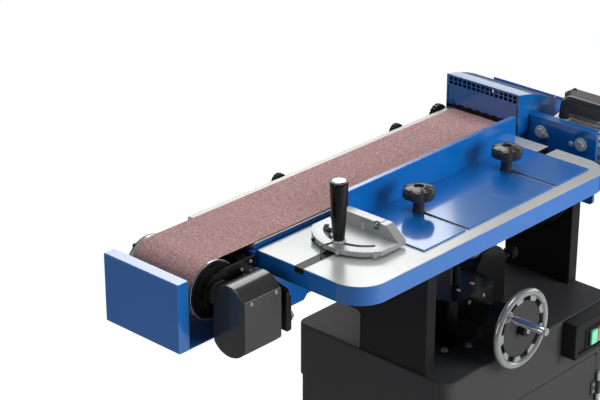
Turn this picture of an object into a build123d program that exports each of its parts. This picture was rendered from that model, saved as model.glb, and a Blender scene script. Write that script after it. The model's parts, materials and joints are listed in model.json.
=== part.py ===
from build123d import *
import os
from math import cos, pi, radians, sin, sqrt

# Oscillating belt sander of the edge type: a closed cabinet, a rise-and-fall work table with fence
# and mitre gauge, and a long belt head that is swung back until its belt faces up.
# Millimetres. The frame has its origin on the floor under the middle of the cabinet,
# +X towards the motor end, +Y to the back and +Z up.
# Sizes are counted from one working datum: the table's left end, the belt's near edge and the
# belt's working face. The helpers below carry them from that datum to the frame.
DATUM = Vector(-511.0, 60.0, 940.0)

# Belt and drums
BELT_LENGTH = 2260.0
BELT_WIDTH = 150.0
BELT_THICK = 1.6
RUN_GAP = 0.3
DRUM_R = 52.0
BELT_IN_R = DRUM_R + RUN_GAP
BELT_OUT_R = BELT_IN_R + BELT_THICK
DRUM_PITCH = (BELT_LENGTH - 2 * pi * BELT_OUT_R) / 2
IDLER_X = -104.0
DRIVE_X = IDLER_X + DRUM_PITCH
DRUM_Z = -BELT_OUT_R
DRUM_LENGTH = 160.0
SHAFT_R = 12.0
FIT = 0.05
SHEET = 2.0

# Tilt of the head
PIVOT_Y = 13.0
PIVOT_Z = -15.0
TILT_R = 185.0
STUD_ANGLE = 292.0
STUD_R = 6.0
STUD_YZ = (PIVOT_Y + TILT_R * cos(radians(STUD_ANGLE)), PIVOT_Z + TILT_R * sin(radians(STUD_ANGLE)))
QUADRANT_R = 205.0
QUADRANT_THICK = 12.0
QUADRANT_X = (290.0, 722.0)

# Table, fence and mitre gauge
TABLE_X = (0.0, 735.0)
TABLE_Y = (-259.0, -10.0)
TABLE_Z = (-48.0, -11.8)
TABLE_PLATE = 16.0
TABLE_RIM = 9.0
TABLE_CORNER = 60.0
TABLE_BACK_R = 6.0
TABLE_EDGE_R = 1.5
TABLE_RIBS_X = (150.0, 300.0, 640.0)
TABLE_RIB_Y = -180.0
TABLE_RIB = 8.0
TABLE_RIB_Z = (TABLE_Z[0] + 6.0, TABLE_Z[1] - 4.0)
SCREW_BOSS_R = 22.0
POST_BOSS_R = 26.0
GROOVE_Y = -112.0
GROOVE_W = 20.0
GROOVE_DEPTH = 10.0
BAR_SIDE = 0.3
FENCE_X = (195.0, 690.0)
FENCE_FRONT_Y = -230.0
FENCE_FACE_Y = -52.0
FENCE_TOP = 50.0
FENCE_SHEET = 3.0
FENCE_RETURN = 12.0
SLIDE_LIFT = 0.2
CLAMP_X = (316.0, 579.0)
CLAMP_Y = GROOVE_Y - 4.0
CLAMP_STUD_R = 4.0
NUT_HALF = 16.0
MITRE_PIVOT_X = 172.0
MITRE_R = 95.0
MITRE_SLOT_R = 70.0
MITRE_TOP = 27.0

# Cabinet
FLOOR = -DATUM.Z
CAP_Z = (-412.0, -300.0)
CABINET_MID = (-DATUM.X, -DATUM.Y)
CABINET_W = 522.0
CABINET_D = 380.0
CABINET_CORNER = 22.0
CABINET_STEP = 2.5
CABINET_SHEET = 4.0
FLOOR_FLANGE = 65.0
CAP_FLANGE = 30.0
CAP_EDGE_R = 4.0
CAP_WALL = 5.0
CAP_ROOF = 6.0
FRONT_Y = CABINET_MID[1] - CABINET_D / 2
BODY_FRONT_Y = FRONT_Y + CABINET_STEP
FLOOR_HOLE_R = 6.0
FLOOR_HOLE_X = 430.0
FLOOR_HOLE_Y = 300.0
DOOR_X = (290.0, 735.0)
DOOR_Z = (-880.0, -424.0)
DOOR_GAP = 2.0
DOOR_CORNER = 6.0
HINGE_X = 741.0
HINGE_Y = BODY_FRONT_Y - 5.6
HINGE_Z = (-815.0, -500.0)
HINGE_LEAF = 14.0
HINGE_SHEET = 3.0
HINGE_PIN_R = 2.5
KNUCKLE_R = 5.0
KNUCKLE_HALF = 15.0
KNUCKLE_GAP = 0.4
KNUCKLE_END = 32.0
LATCH_X = 312.0
LATCH_Z = -650.0
LATCH_R = 6.0
LATCH_DISC_R = 11.0
LATCH_DISC = 5.0
LATCH_WING = 14.0
CAM_HALF = 6.0
CAM_REACH = 38.0
CAM_Y = (BODY_FRONT_Y + 6.0, BODY_FRONT_Y + 9.0)

# Table lift
CRANK_X = 433.5
CRANK_Z = -240.0
SCREW_Y = -115.0
SCREW_R = 8.0
POST_X = (531.0, 579.0)
POST_Y = -85.0
POST_R = 14.0
POST_FOOT = -330.0
SCREW_FOOT = -370.0
CRANK_R = 10.0
BEVEL_TEETH = 16
BEVEL_PITCH_R = 22.0
BEVEL_FACE = 10.0
BEVEL_ADDENDUM = 2.0
BEVEL_DEDENDUM = 3.2
BEVEL_BACK = 7.0
WHEEL_R = 80.0
WHEEL_RIM_R = 7.0
WHEEL_Y = -275.0
WHEEL_WEB_Y = (WHEEL_Y - 1.0, WHEEL_Y + 5.0)
WHEEL_HUB_R = 18.0
WHEEL_HUB_Y = (-288.0, -256.0)
CRANK_END = WHEEL_HUB_Y[0] - 2.0
PRESS_FIT = 0.02
GRIP_XZ = (CRANK_X - 45.0, CRANK_Z + 42.0)
GRIP_Y = (-362.0, -284.0)
GRIP_R = 8.0
GRIP_PIN_R = 5.0

# Oscillation gearbox at the idler end
BOX_X = (-125.0, -35.0)
BOX_Y = (-100.0, -26.0)
BOX_SHOULDER_Z = (-137.0, -40.0)
BOX_DOME = 20.0
BOX_WALL = 5.0
QUILL_R = 24.0
QUILL_END = 93.0
LID = 3.0
LID_CORNER = 3.0
MOUTH_X = (BOX_X[0] + 8.0, BOX_X[1] - 8.0)
MOUTH_Z = (-129.0, -48.0)
WHEEL_AXIS_YZ = (-63.0, -97.0)
WORM_R = 13.0
WORM_RINGS = 7
WORM_PITCH = 6.0
WORM_START = -80.0
WORM_AXLE_R = 6.0
WORM_WHEEL_R = 29.0
WORM_WHEEL_HALF = 5.0
WORM_TOOTH = (6.0, 3.2)
WORM_WHEEL_TEETH = 24
CRANK_THROW = 3.0
CRANK_PIN_R = 4.0

# Motor
MOTOR_R = 66.0
MOTOR_Y = (-232.0, -42.0)
BRACKET_X = (780.0, 786.0)
BRACKET_Y = (-183.0, -20.0)
BRACKET_TOP = 22.0
MOTOR_BOLT_Y = (-147.0, -49.0)
MOTOR_BOLT_Z = -9.0

# Switch
SWITCH_X = (606.0, 745.0)
SWITCH_Z = (-378.0, -302.0)
SWITCH_DEPTH = 33.0
SWITCH_LIP = 10.0
SWITCH_CORNER = 4.0
SWITCH_EDGE_R = 2.0
SWITCH_RECESS = 4.0
SWITCH_FACE = 4.0
BUTTON_W = 20.0
BUTTON_H = 30.0
BUTTON_X = (668.0, 690.0)
BUTTON_Z = -346.0
BUTTON_GAP = 0.4
BUTTON_STAND = 3.0
BUTTON_DEPTH = 14.0
GLAND_R = 9.0
GLAND_HEX_R = 12.0
GLAND_HEX = 8.0
GLAND_DROP = 14.0
GLAND_BORE_R = 4.5


def level(z):
    """Horizontal plane at height z, with the datum as its origin."""
    return Plane(origin=DATUM + Vector(0, 0, z))


def upright(y):
    """Plane along the belt at depth y: its own axes are X and Z, and it faces the front."""
    return Plane(origin=DATUM + Vector(0, y, 0), x_dir=(1, 0, 0), z_dir=(0, -1, 0))


def end_on(x):
    """Plane across the belt at x: its own axes are Y and Z, and it faces the motor end."""
    return Plane(origin=DATUM + Vector(x, 0, 0), x_dir=(0, 1, 0), z_dir=(1, 0, 0))


def block(x, y, z, mode=Mode.ADD):
    """Box between the low and high limit of each axis."""
    spans = (x, y, z)
    middle = Vector(*[(low + high) / 2 for low, high in spans])
    with Locations(DATUM + middle):
        Box(*[high - low for low, high in spans], mode=mode)


def rod(axis, center, radius, span, mode=Mode.ADD):
    """Round bar along an axis: its centre in the other two axes, its radius, and its two ends."""
    low, high = span
    starts = {
        "x": (Vector(low, *center), (1, 0, 0)),
        "y": (Vector(center[0], low, center[1]), (0, 1, 0)),
        "z": (Vector(*center, low), (0, 0, 1)),
    }
    start, along = starts[axis]
    with Locations(Plane(origin=DATUM + start, z_dir=along).location):
        Cylinder(radius, high - low, align=(Align.CENTER, Align.CENTER, Align.MIN), mode=mode)


def save(piece, name):
    """Label a finished piece and write it as its own file."""
    piece.part.label = name
    export_step(piece.part, f"parts/{name}.step")


os.makedirs("parts", exist_ok=True)

# Cabinet: lower body, cap, door
with BuildPart() as cabinet_body:
    with BuildSketch(level(FLOOR)):
        with Locations(CABINET_MID):
            RectangleRounded(CABINET_W - 2 * CABINET_STEP, CABINET_D - 2 * CABINET_STEP, CABINET_CORNER)
    extrude(amount=CAP_Z[0] - FLOOR)
    with BuildSketch(level(FLOOR + CABINET_SHEET)):
        with Locations(CABINET_MID):
            RectangleRounded(
                CABINET_W - 2 * CABINET_STEP - 2 * CABINET_SHEET,
                CABINET_D - 2 * CABINET_STEP - 2 * CABINET_SHEET,
                CABINET_CORNER - CABINET_SHEET,
            )
    extrude(amount=CAP_Z[0] - FLOOR - 2 * CABINET_SHEET, mode=Mode.SUBTRACT)
    # The floor flange is turned in all round, and so is the flange that carries the cap
    with BuildSketch(level(FLOOR)):
        with Locations(CABINET_MID):
            RectangleRounded(CABINET_W - 2 * FLOOR_FLANGE, CABINET_D - 2 * FLOOR_FLANGE, CABINET_CORNER)
    extrude(amount=CAP_Z[0] - FLOOR, mode=Mode.SUBTRACT)
    with BuildSketch(level(FLOOR + CABINET_SHEET)):
        with Locations(CABINET_MID):
            RectangleRounded(CABINET_W - 2 * CAP_FLANGE, CABINET_D - 2 * CAP_FLANGE, CABINET_CORNER)
    extrude(amount=CAP_Z[0] - FLOOR, mode=Mode.SUBTRACT)
    block(
        (DOOR_X[0] - DOOR_GAP, DOOR_X[1] + DOOR_GAP),
        (BODY_FRONT_Y - 1, BODY_FRONT_Y + CABINET_SHEET + 1),
        (DOOR_Z[0] - DOOR_GAP, DOOR_Z[1] + DOOR_GAP),
        Mode.SUBTRACT,
    )
    for side in (-1, 1):
        for end in (-1, 1):
            spot = (CABINET_MID[0] + side * FLOOR_HOLE_X / 2, CABINET_MID[1] + end * FLOOR_HOLE_Y / 2)
            rod("z", spot, FLOOR_HOLE_R, (FLOOR - 1, FLOOR + CABINET_SHEET + 1), Mode.SUBTRACT)
save(cabinet_body, "cabinet_body")

with BuildPart() as cabinet_cap:
    with BuildSketch(level(CAP_Z[0])):
        with Locations(CABINET_MID):
            RectangleRounded(CABINET_W, CABINET_D, CABINET_CORNER)
    extrude(amount=CAP_Z[1] - CAP_Z[0])
    fillet(cabinet_cap.faces().sort_by(Axis.Z)[-1].edges(), radius=CAP_EDGE_R)
    with BuildSketch(level(CAP_Z[0])):
        with Locations(CABINET_MID):
            RectangleRounded(CABINET_W - 2 * CAP_WALL, CABINET_D - 2 * CAP_WALL, CABINET_CORNER - CAP_WALL)
    extrude(amount=CAP_Z[1] - CAP_Z[0] - CAP_ROOF, mode=Mode.SUBTRACT)
    roof_cut = (CAP_Z[1] - CAP_ROOF - 1, CAP_Z[1] + 1)
    for x in POST_X:
        rod("z", (x, POST_Y), POST_R + 2, roof_cut, Mode.SUBTRACT)
    rod("z", (CRANK_X, SCREW_Y), SCREW_R + 4, roof_cut, Mode.SUBTRACT)
save(cabinet_cap, "cabinet_cap")

# Door: a sheet with a folded edge all round
FOLD_IN = 8.0
FOLD_DEPTH = 14.0
FOLD_Y = (BODY_FRONT_Y + SHEET, BODY_FRONT_Y + FOLD_DEPTH)
LEAF_Y = (BODY_FRONT_Y - HINGE_SHEET, BODY_FRONT_Y)
with BuildPart() as door:
    block(DOOR_X, (BODY_FRONT_Y, FOLD_Y[0]), DOOR_Z)
    fillet(door.edges().filter_by(Axis.Y), radius=DOOR_CORNER)
    fold_x = (DOOR_X[0] + FOLD_IN, DOOR_X[1] - FOLD_IN)
    fold_z = (DOOR_Z[0] + FOLD_IN, DOOR_Z[1] - FOLD_IN)
    block(fold_x, FOLD_Y, fold_z)
    block(
        (fold_x[0] + SHEET, fold_x[1] - SHEET),
        (FOLD_Y[0], FOLD_Y[1] + 1),
        (fold_z[0] + SHEET, fold_z[1] - SHEET),
        Mode.SUBTRACT,
    )
    for z in HINGE_Z:
        knuckle = (z - KNUCKLE_HALF, z + KNUCKLE_HALF)
        block((DOOR_X[1] - HINGE_LEAF, HINGE_X), LEAF_Y, knuckle)
        rod("z", (HINGE_X, HINGE_Y), KNUCKLE_R, knuckle)
        rod("z", (HINGE_X, HINGE_Y), HINGE_PIN_R + FIT, (knuckle[0] - 1, knuckle[1] + 1), Mode.SUBTRACT)
    rod("y", (LATCH_X, LATCH_Z), LATCH_R + FIT, (BODY_FRONT_Y - 1, FOLD_Y[0] + 1), Mode.SUBTRACT)
    # Window in the door's edge for the latch's cam
    block(
        (fold_x[0] - 1, fold_x[0] + SHEET + 1),
        (FOLD_Y[0], FOLD_Y[1] + 1),
        (LATCH_Z - CAM_REACH - 8, LATCH_Z + CAM_HALF + 4),
        Mode.SUBTRACT,
    )
save(door, "door")

with BuildPart() as hinge_pins:
    for z in HINGE_Z:
        rod("z", (HINGE_X, HINGE_Y), HINGE_PIN_R, (z - KNUCKLE_END - 2, z + KNUCKLE_END + 2))
        start = KNUCKLE_HALF + KNUCKLE_GAP
        for knuckle in ((z - KNUCKLE_END, z - start), (z + start, z + KNUCKLE_END)):
            rod("z", (HINGE_X, HINGE_Y), KNUCKLE_R, knuckle)
            block((HINGE_X, HINGE_X + HINGE_LEAF), LEAF_Y, knuckle)
save(hinge_pins, "hinge_pins")

# Quarter-turn latch, shown open: its cam hangs down inside the door
with BuildPart() as door_latch:
    disc_y = (BODY_FRONT_Y - LATCH_DISC, BODY_FRONT_Y - RUN_GAP)
    rod("y", (LATCH_X, LATCH_Z), LATCH_DISC_R, disc_y)
    wing_z = (LATCH_Z - LATCH_DISC_R + 1, LATCH_Z + LATCH_DISC_R - 1)
    block((LATCH_X - 2.5, LATCH_X + 2.5), (BODY_FRONT_Y - LATCH_WING, disc_y[0]), wing_z)
    rod("y", (LATCH_X, LATCH_Z), LATCH_R, (disc_y[1], CAM_Y[1]))
    block((LATCH_X - CAM_HALF, LATCH_X + CAM_HALF), CAM_Y, (LATCH_Z - CAM_REACH, LATCH_Z))
save(door_latch, "door_latch")

# Cheeks: two black plates that stand on the cap. Each has an arm to the back for the tilt studs
CHEEK_THICK = 27.0
CHEEK_TOP = -60.0
CHEEK_BACK = -25.0
CHEEK_ARM_Z = (-222.0, -165.0)
CHEEK_ARM_END = 112.0
CHEEKS = (("left_cheek", 254.0, -193.0, -31.0), ("right_cheek", 743.0, -163.0, 0.0))
for name, cheek_x, near, foot_back in CHEEKS:
    with BuildPart() as cheek:
        with BuildSketch(end_on(cheek_x)):
            with BuildLine():
                Polyline(
                    (near, CAP_Z[1]),
                    (foot_back, CAP_Z[1]),
                    (foot_back, CHEEK_ARM_Z[0]),
                    (CHEEK_ARM_END, CHEEK_ARM_Z[0]),
                    (CHEEK_ARM_END, CHEEK_ARM_Z[1]),
                    (CHEEK_BACK, CHEEK_ARM_Z[1]),
                    (CHEEK_BACK, CHEEK_TOP),
                    (near, CHEEK_TOP),
                    close=True,
                )
            make_face()
        extrude(amount=CHEEK_THICK)
        fillet(cheek.edges().filter_by(Axis.X).sort_by(Axis.Z)[2:], radius=10)
        fillet(cheek.edges().filter_by(Axis.Z), radius=2)
        rod("x", STUD_YZ, STUD_R + FIT, (cheek_x - 1, cheek_x + CHEEK_THICK + 1), Mode.SUBTRACT)
    save(cheek, name)

# Studs through the cheeks, with a collar between each cheek and its quadrant
STUD_LENGTH = 70.0
STUD_COLLAR_R = 18.0
LEFT_STUD_X = CHEEKS[0][1] + 2
RIGHT_STUD_X = CHEEKS[1][1] + CHEEK_THICK - 2
LEFT_COLLAR_X = (CHEEKS[0][1] + CHEEK_THICK, QUADRANT_X[0] - 0.4)
RIGHT_COLLAR_X = (QUADRANT_X[1] + QUADRANT_THICK + 0.4, CHEEKS[1][1])
with BuildPart() as tilt_studs:
    rod("x", STUD_YZ, STUD_R, (LEFT_STUD_X, LEFT_STUD_X + STUD_LENGTH))
    rod("x", STUD_YZ, STUD_COLLAR_R, LEFT_COLLAR_X)
    rod("x", STUD_YZ, STUD_R, (RIGHT_STUD_X - STUD_LENGTH, RIGHT_STUD_X))
    rod("x", STUD_YZ, STUD_COLLAR_R, RIGHT_COLLAR_X)
save(tilt_studs, "tilt_studs")

# Lock levers: hub on the stud, flat arm to the back and a round end
LOCK_HUB_R = 14.0
LOCK_ARM_HALF = 5.0
LOCK_END_Y = 163.0
LOCK_END_R = 9.0
for name, hub_x in (("tilt_lock_left", (302.5, 320.0)), ("tilt_lock_right", (704.0, 721.5))):
    with BuildPart() as tilt_lock:
        rod("x", STUD_YZ, LOCK_HUB_R, hub_x)
        arm_z = (STUD_YZ[1] - LOCK_ARM_HALF, STUD_YZ[1] + LOCK_ARM_HALF)
        block((hub_x[0] + 4, hub_x[1] - 4), (STUD_YZ[0], LOCK_END_Y - 3), arm_z)
        rod("x", (LOCK_END_Y, STUD_YZ[1]), LOCK_END_R, (hub_x[0] + 1, hub_x[1] - 1))
        rod("x", STUD_YZ, STUD_R + FIT, (hub_x[0] - 1, hub_x[1] + 1), Mode.SUBTRACT)
    save(tilt_lock, name)

# Table lift: round gear case with a flat front, a column for the posts, and the crank's bearing
CASE_R = 73.0
CASE_FRONT = -165.0
CASE_BACK = -70.0
CASE_WALL = 8.0
CASE_HALF = 38.0
CASE_FLOOR = -278.0
CASE_TOP = -206.0
CASE_LID = 3.0
COLUMN_X = (508.0, 602.0)
COLUMN_Y = (-108.0, -62.0)
COLUMN_SPRING = -216.0
BEARING_Y = (-246.0, -212.0)
BEARING_R = 33.5
BEARING_FOOT = -277.0
LOCK_YZ = (-92.0, -214.0)
LOCK_STUD_R = 5.0
LOCK_HEAD_R = 13.0
LOCK_HEAD_X = (COLUMN_X[1] + 26, COLUMN_X[1] + 48)
LOCK_TIP = POST_X[1] + POST_R + 1


def arch(y, x, foot, spring):
    """Arched face at depth y: straight legs from foot to spring, and a half circle over them."""
    with BuildSketch(upright(y)) as face:
        with BuildLine():
            Polyline((x[0], spring), (x[0], foot), (x[1], foot), (x[1], spring))
            ThreePointArc((x[1], spring), ((x[0] + x[1]) / 2, spring + (x[1] - x[0]) / 2), (x[0], spring))
        make_face()
    return face.sketch


def case_outline(z):
    """Face of the gear case at height z: a disc round the screw, cut flat at the front."""
    with BuildSketch(level(z)) as face:
        with Locations((CRANK_X, SCREW_Y)):
            Circle(CASE_R)
        with Locations((CRANK_X, CASE_FRONT - CASE_R)):
            Rectangle(3 * CASE_R, 2 * CASE_R, mode=Mode.SUBTRACT)
    return face.sketch


with BuildPart() as lift_housing:
    extrude(case_outline(CAP_Z[1]), amount=CASE_TOP - CAP_Z[1])
    extrude(arch(COLUMN_Y[0], COLUMN_X, CAP_Z[1], COLUMN_SPRING), amount=COLUMN_Y[0] - COLUMN_Y[1])
    block((CRANK_X, COLUMN_X[0] + 1), COLUMN_Y, (CAP_Z[1], CASE_TOP - 20))
    block(
        (CRANK_X - CASE_HALF, CRANK_X + CASE_HALF),
        (CASE_FRONT + CASE_WALL, CASE_BACK),
        (CASE_FLOOR, CASE_TOP + 1),
        Mode.SUBTRACT,
    )
    rod("z", (CRANK_X, SCREW_Y), SCREW_R + 1, (CAP_Z[1] - 1, CASE_FLOOR + 1), Mode.SUBTRACT)
    for x in POST_X:
        rod("z", (x, POST_Y), POST_R + FIT, (CAP_Z[1] - 1, COLUMN_SPRING + 60), Mode.SUBTRACT)
    rod("y", (CRANK_X, CRANK_Z), CRANK_R + FIT, (CASE_FRONT - 1, CASE_FRONT + CASE_WALL + 1), Mode.SUBTRACT)
    rod("x", LOCK_YZ, LOCK_STUD_R + FIT, (LOCK_TIP - 3, COLUMN_X[1] + 1), Mode.SUBTRACT)
save(lift_housing, "lift_housing")

with BuildPart() as lift_cover:
    extrude(case_outline(CASE_TOP), amount=CASE_LID)
    rod("z", (CRANK_X, SCREW_Y), SCREW_R + 1, (CASE_TOP - 1, CASE_TOP + CASE_LID + 1), Mode.SUBTRACT)
save(lift_cover, "lift_cover")

with BuildPart() as handwheel_bearing:
    bearing_x = (CRANK_X - BEARING_R, CRANK_X + BEARING_R)
    extrude(arch(BEARING_Y[0], bearing_x, BEARING_FOOT, CRANK_Z), amount=BEARING_Y[0] - BEARING_Y[1])
    rod("y", (CRANK_X, CRANK_Z), BEARING_R - 11, (BEARING_Y[1], CASE_FRONT))
    rod("y", (CRANK_X, CRANK_Z), CRANK_R + FIT, (BEARING_Y[0] - 1, CASE_FRONT + 1), Mode.SUBTRACT)
save(handwheel_bearing, "handwheel_bearing")

with BuildPart() as lift_lock_knob:
    rod("x", LOCK_YZ, LOCK_HEAD_R, LOCK_HEAD_X)
    fillet(lift_lock_knob.edges().filter_by(GeomType.CIRCLE), radius=4)
    rod("x", LOCK_YZ, LOCK_STUD_R, (LOCK_TIP, LOCK_HEAD_X[0] + 2))
save(lift_lock_knob, "lift_lock_knob")


def bevel_gear(hub_r, hub_length, bore_r):
    """Mitre bevel gear on the XY plane: pitch circle at the origin's height, apex above it."""
    big_end = Plane(origin=(BEVEL_PITCH_R, 0, 0), x_dir=(0, 1, 0), z_dir=(-1, 0, 1))
    shrink = 1 - BEVEL_FACE / (BEVEL_PITCH_R * sqrt(2))
    small_end = Plane(origin=big_end.origin + big_end.z_dir * BEVEL_FACE, x_dir=(0, 1, 0), z_dir=(-1, 0, 1))
    outward = 1 if big_end.y_dir.X > 0 else -1
    pitch = 2 * pi * BEVEL_PITCH_R / BEVEL_TEETH
    root_half, tip_half = 0.26 * pitch, 0.09 * pitch
    root_depth = BEVEL_DEDENDUM + 0.8
    with BuildPart() as tooth:
        for plane, size in ((big_end, 1.0), (small_end, shrink)):
            with BuildSketch(plane):
                with BuildLine():
                    Polyline(
                        (-root_half * size, -outward * root_depth * size),
                        (root_half * size, -outward * root_depth * size),
                        (tip_half * size, outward * BEVEL_ADDENDUM * size),
                        (-tip_half * size, outward * BEVEL_ADDENDUM * size),
                        close=True,
                    )
                make_face()
        loft()
    root = BEVEL_PITCH_R - BEVEL_DEDENDUM * sqrt(0.5)
    rise = BEVEL_FACE * sqrt(0.5)
    with BuildPart() as gear:
        with BuildSketch(Plane.XZ):
            with BuildLine():
                Polyline(
                    (bore_r, -hub_length),
                    (hub_r, -hub_length),
                    (hub_r, -BEVEL_BACK),
                    (root - 1, -BEVEL_BACK),
                    (root, -BEVEL_DEDENDUM * sqrt(0.5)),
                    (root * shrink, rise - BEVEL_DEDENDUM * sqrt(0.5) * shrink),
                    (bore_r, rise - BEVEL_DEDENDUM * sqrt(0.5) * shrink),
                    close=True,
                )
            make_face()
        revolve(axis=Axis.Z)
        with PolarLocations(0, BEVEL_TEETH):
            add(tooth.part)
        with Locations((0, 0, -hub_length - 1)):
            Cylinder(
                bore_r,
                hub_length + 40,
                align=(Align.CENTER, Align.CENTER, Align.MIN),
                mode=Mode.SUBTRACT,
            )
    return gear.part


# The crank gear faces the screw and has a tooth at the bottom. The lift gear faces up, half a tooth on
HALF_TOOTH = 180.0 / BEVEL_TEETH
crank_gear_plane = Plane(
    origin=DATUM + Vector(CRANK_X, SCREW_Y - BEVEL_PITCH_R, CRANK_Z),
    x_dir=(0, 0, -1),
    z_dir=(0, 1, 0),
)
lift_gear_plane = Plane(
    origin=DATUM + Vector(CRANK_X, SCREW_Y, CRANK_Z - BEVEL_PITCH_R),
    x_dir=(sin(radians(HALF_TOOTH)), -cos(radians(HALF_TOOTH)), 0),
    z_dir=(0, 0, 1),
)
with BuildPart() as lift_gear:
    add(bevel_gear(14, 15.7, SCREW_R + 0.4).moved(lift_gear_plane.location))
save(lift_gear, "lift_gear")

with BuildPart() as crank_shaft:
    add(bevel_gear(15, 16, CRANK_R - 2).moved(crank_gear_plane.location))
    rod("y", (CRANK_X, CRANK_Z), CRANK_R, (CRANK_END, SCREW_Y - SCREW_R - 2))
save(crank_shaft, "crank_shaft")

with BuildPart() as handwheel:
    with Locations(upright(WHEEL_Y).location * Location((CRANK_X, CRANK_Z, 0))):
        Torus(WHEEL_R - WHEEL_RIM_R, WHEEL_RIM_R)
    rod("y", (CRANK_X, CRANK_Z), WHEEL_R - WHEEL_RIM_R, WHEEL_WEB_Y)
    rod("y", (CRANK_X, CRANK_Z), WHEEL_HUB_R, WHEEL_HUB_Y)
    bore_y = (WHEEL_HUB_Y[0] - 1, WHEEL_HUB_Y[1] + 1)
    rod("y", (CRANK_X, CRANK_Z), CRANK_R + PRESS_FIT, bore_y, Mode.SUBTRACT)
    rod("y", GRIP_XZ, GRIP_PIN_R, (GRIP_Y[0] - 1, WHEEL_Y))
    rod("y", GRIP_XZ, GRIP_R, (GRIP_Y[0] - 4, GRIP_Y[0] - 0.4))
save(handwheel, "handwheel")

with BuildPart() as handwheel_grip:
    rod("y", GRIP_XZ, GRIP_R, GRIP_Y)
    fillet(handwheel_grip.edges().filter_by(GeomType.CIRCLE), radius=2)
    rod("y", GRIP_XZ, GRIP_PIN_R + FIT, (GRIP_Y[0] - 1, GRIP_Y[1] + 1), Mode.SUBTRACT)
save(handwheel_grip, "handwheel_grip")

# Work table: open box casting with a groove for the mitre bar
with BuildPart() as table:
    with BuildSketch(level(TABLE_Z[0])) as outline:
        with BuildLine():
            Polyline(
                (TABLE_X[0], TABLE_Y[0]),
                (TABLE_X[1], TABLE_Y[0]),
                (TABLE_X[1], TABLE_Y[1]),
                (TABLE_X[0], TABLE_Y[1]),
                close=True,
            )
        make_face()
        fillet(outline.vertices().group_by(Axis.Y)[0], radius=TABLE_CORNER)
        fillet(outline.vertices().group_by(Axis.Y)[-1], radius=TABLE_BACK_R)
    extrude(amount=TABLE_Z[1] - TABLE_Z[0])
    fillet(table.faces().sort_by(Axis.Z)[-1].edges(), radius=TABLE_EDGE_R)
    with BuildSketch(level(TABLE_Z[0])) as hollow:
        with BuildLine():
            Polyline(
                (TABLE_X[0] + TABLE_RIM, TABLE_Y[0] + TABLE_RIM),
                (TABLE_X[1] - TABLE_RIM, TABLE_Y[0] + TABLE_RIM),
                (TABLE_X[1] - TABLE_RIM, TABLE_Y[1] - TABLE_RIM),
                (TABLE_X[0] + TABLE_RIM, TABLE_Y[1] - TABLE_RIM),
                close=True,
            )
        make_face()
        fillet(hollow.vertices().group_by(Axis.Y)[0], radius=TABLE_CORNER - TABLE_RIM)
    extrude(amount=TABLE_Z[1] - TABLE_Z[0] - TABLE_PLATE, mode=Mode.SUBTRACT)
    for x in TABLE_RIBS_X:
        block((x, x + TABLE_RIB), (TABLE_Y[0] + 2, TABLE_Y[1] - 2), TABLE_RIB_Z)
    block((TABLE_X[0] + 2, TABLE_X[1] - 2), (TABLE_RIB_Y, TABLE_RIB_Y + TABLE_RIB), TABLE_RIB_Z)
    boss_z = (TABLE_Z[0], TABLE_Z[1] - TABLE_PLATE)
    rod("z", (CRANK_X, SCREW_Y), SCREW_BOSS_R, boss_z)
    for x in POST_X:
        rod("z", (x, POST_Y), POST_BOSS_R, boss_z)
    block(
        (TABLE_X[0] - 1, TABLE_X[1] + 1),
        (GROOVE_Y - GROOVE_W / 2, GROOVE_Y + GROOVE_W / 2),
        (TABLE_Z[1] - GROOVE_DEPTH, TABLE_Z[1] + 1),
        Mode.SUBTRACT,
    )
save(table, "table")

with BuildPart() as table_posts:
    for x in POST_X:
        rod("z", (x, POST_Y), POST_R, (POST_FOOT, TABLE_Z[0]))
    chamfer(table_posts.edges().filter_by(GeomType.CIRCLE).group_by(Axis.Z)[0], length=1.5)
save(table_posts, "table_posts")

with BuildPart() as lift_screw:
    rod("z", (CRANK_X, SCREW_Y), SCREW_R, (SCREW_FOOT, TABLE_Z[0]))
    chamfer(lift_screw.edges().filter_by(GeomType.CIRCLE).group_by(Axis.Z)[0], length=1.5)
save(lift_screw, "lift_screw")

# Fence: bent angle with two open slots, clamped by knobs on nuts in the groove
FENCE_FOOT = TABLE_Z[1] + SLIDE_LIFT
with BuildPart() as fence:
    block(FENCE_X, (FENCE_FRONT_Y, FENCE_FACE_Y + FENCE_SHEET), (FENCE_FOOT, FENCE_FOOT + FENCE_SHEET))
    block(FENCE_X, (FENCE_FACE_Y, FENCE_FACE_Y + FENCE_SHEET), (FENCE_FOOT, FENCE_TOP))
    block(FENCE_X, (FENCE_FACE_Y, FENCE_FACE_Y + FENCE_RETURN), (FENCE_TOP - FENCE_SHEET, FENCE_TOP))
    fillet(fence.edges().filter_by(Axis.X).sort_by(Axis.Z)[-2:], radius=1.5)
    for x in CLAMP_X:
        with BuildSketch(level(FENCE_FOOT - 1)):
            with Locations((x, (FENCE_FRONT_Y - 20 + CLAMP_Y) / 2)):
                SlotCenterToCenter(CLAMP_Y - FENCE_FRONT_Y + 20, 2 * CLAMP_STUD_R + 0.8, rotation=90)
        extrude(amount=FENCE_SHEET + 2, mode=Mode.SUBTRACT)
save(fence, "fence")

GROOVE_FLOOR = TABLE_Z[1] - GROOVE_DEPTH
BAR_Y = (GROOVE_Y - GROOVE_W / 2 + BAR_SIDE, GROOVE_Y + GROOVE_W / 2 - BAR_SIDE)
BAR_Z = (GROOVE_FLOOR + BAR_SIDE, TABLE_Z[1] - BAR_SIDE)
with BuildPart() as clamp_nuts:
    for x in CLAMP_X:
        block((x - NUT_HALF, x + NUT_HALF), BAR_Y, BAR_Z)
        rod("z", (x, CLAMP_Y), CLAMP_STUD_R + FIT, (BAR_Z[0] - 1, BAR_Z[1] + 1), Mode.SUBTRACT)
save(clamp_nuts, "clamp_nuts")

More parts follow.
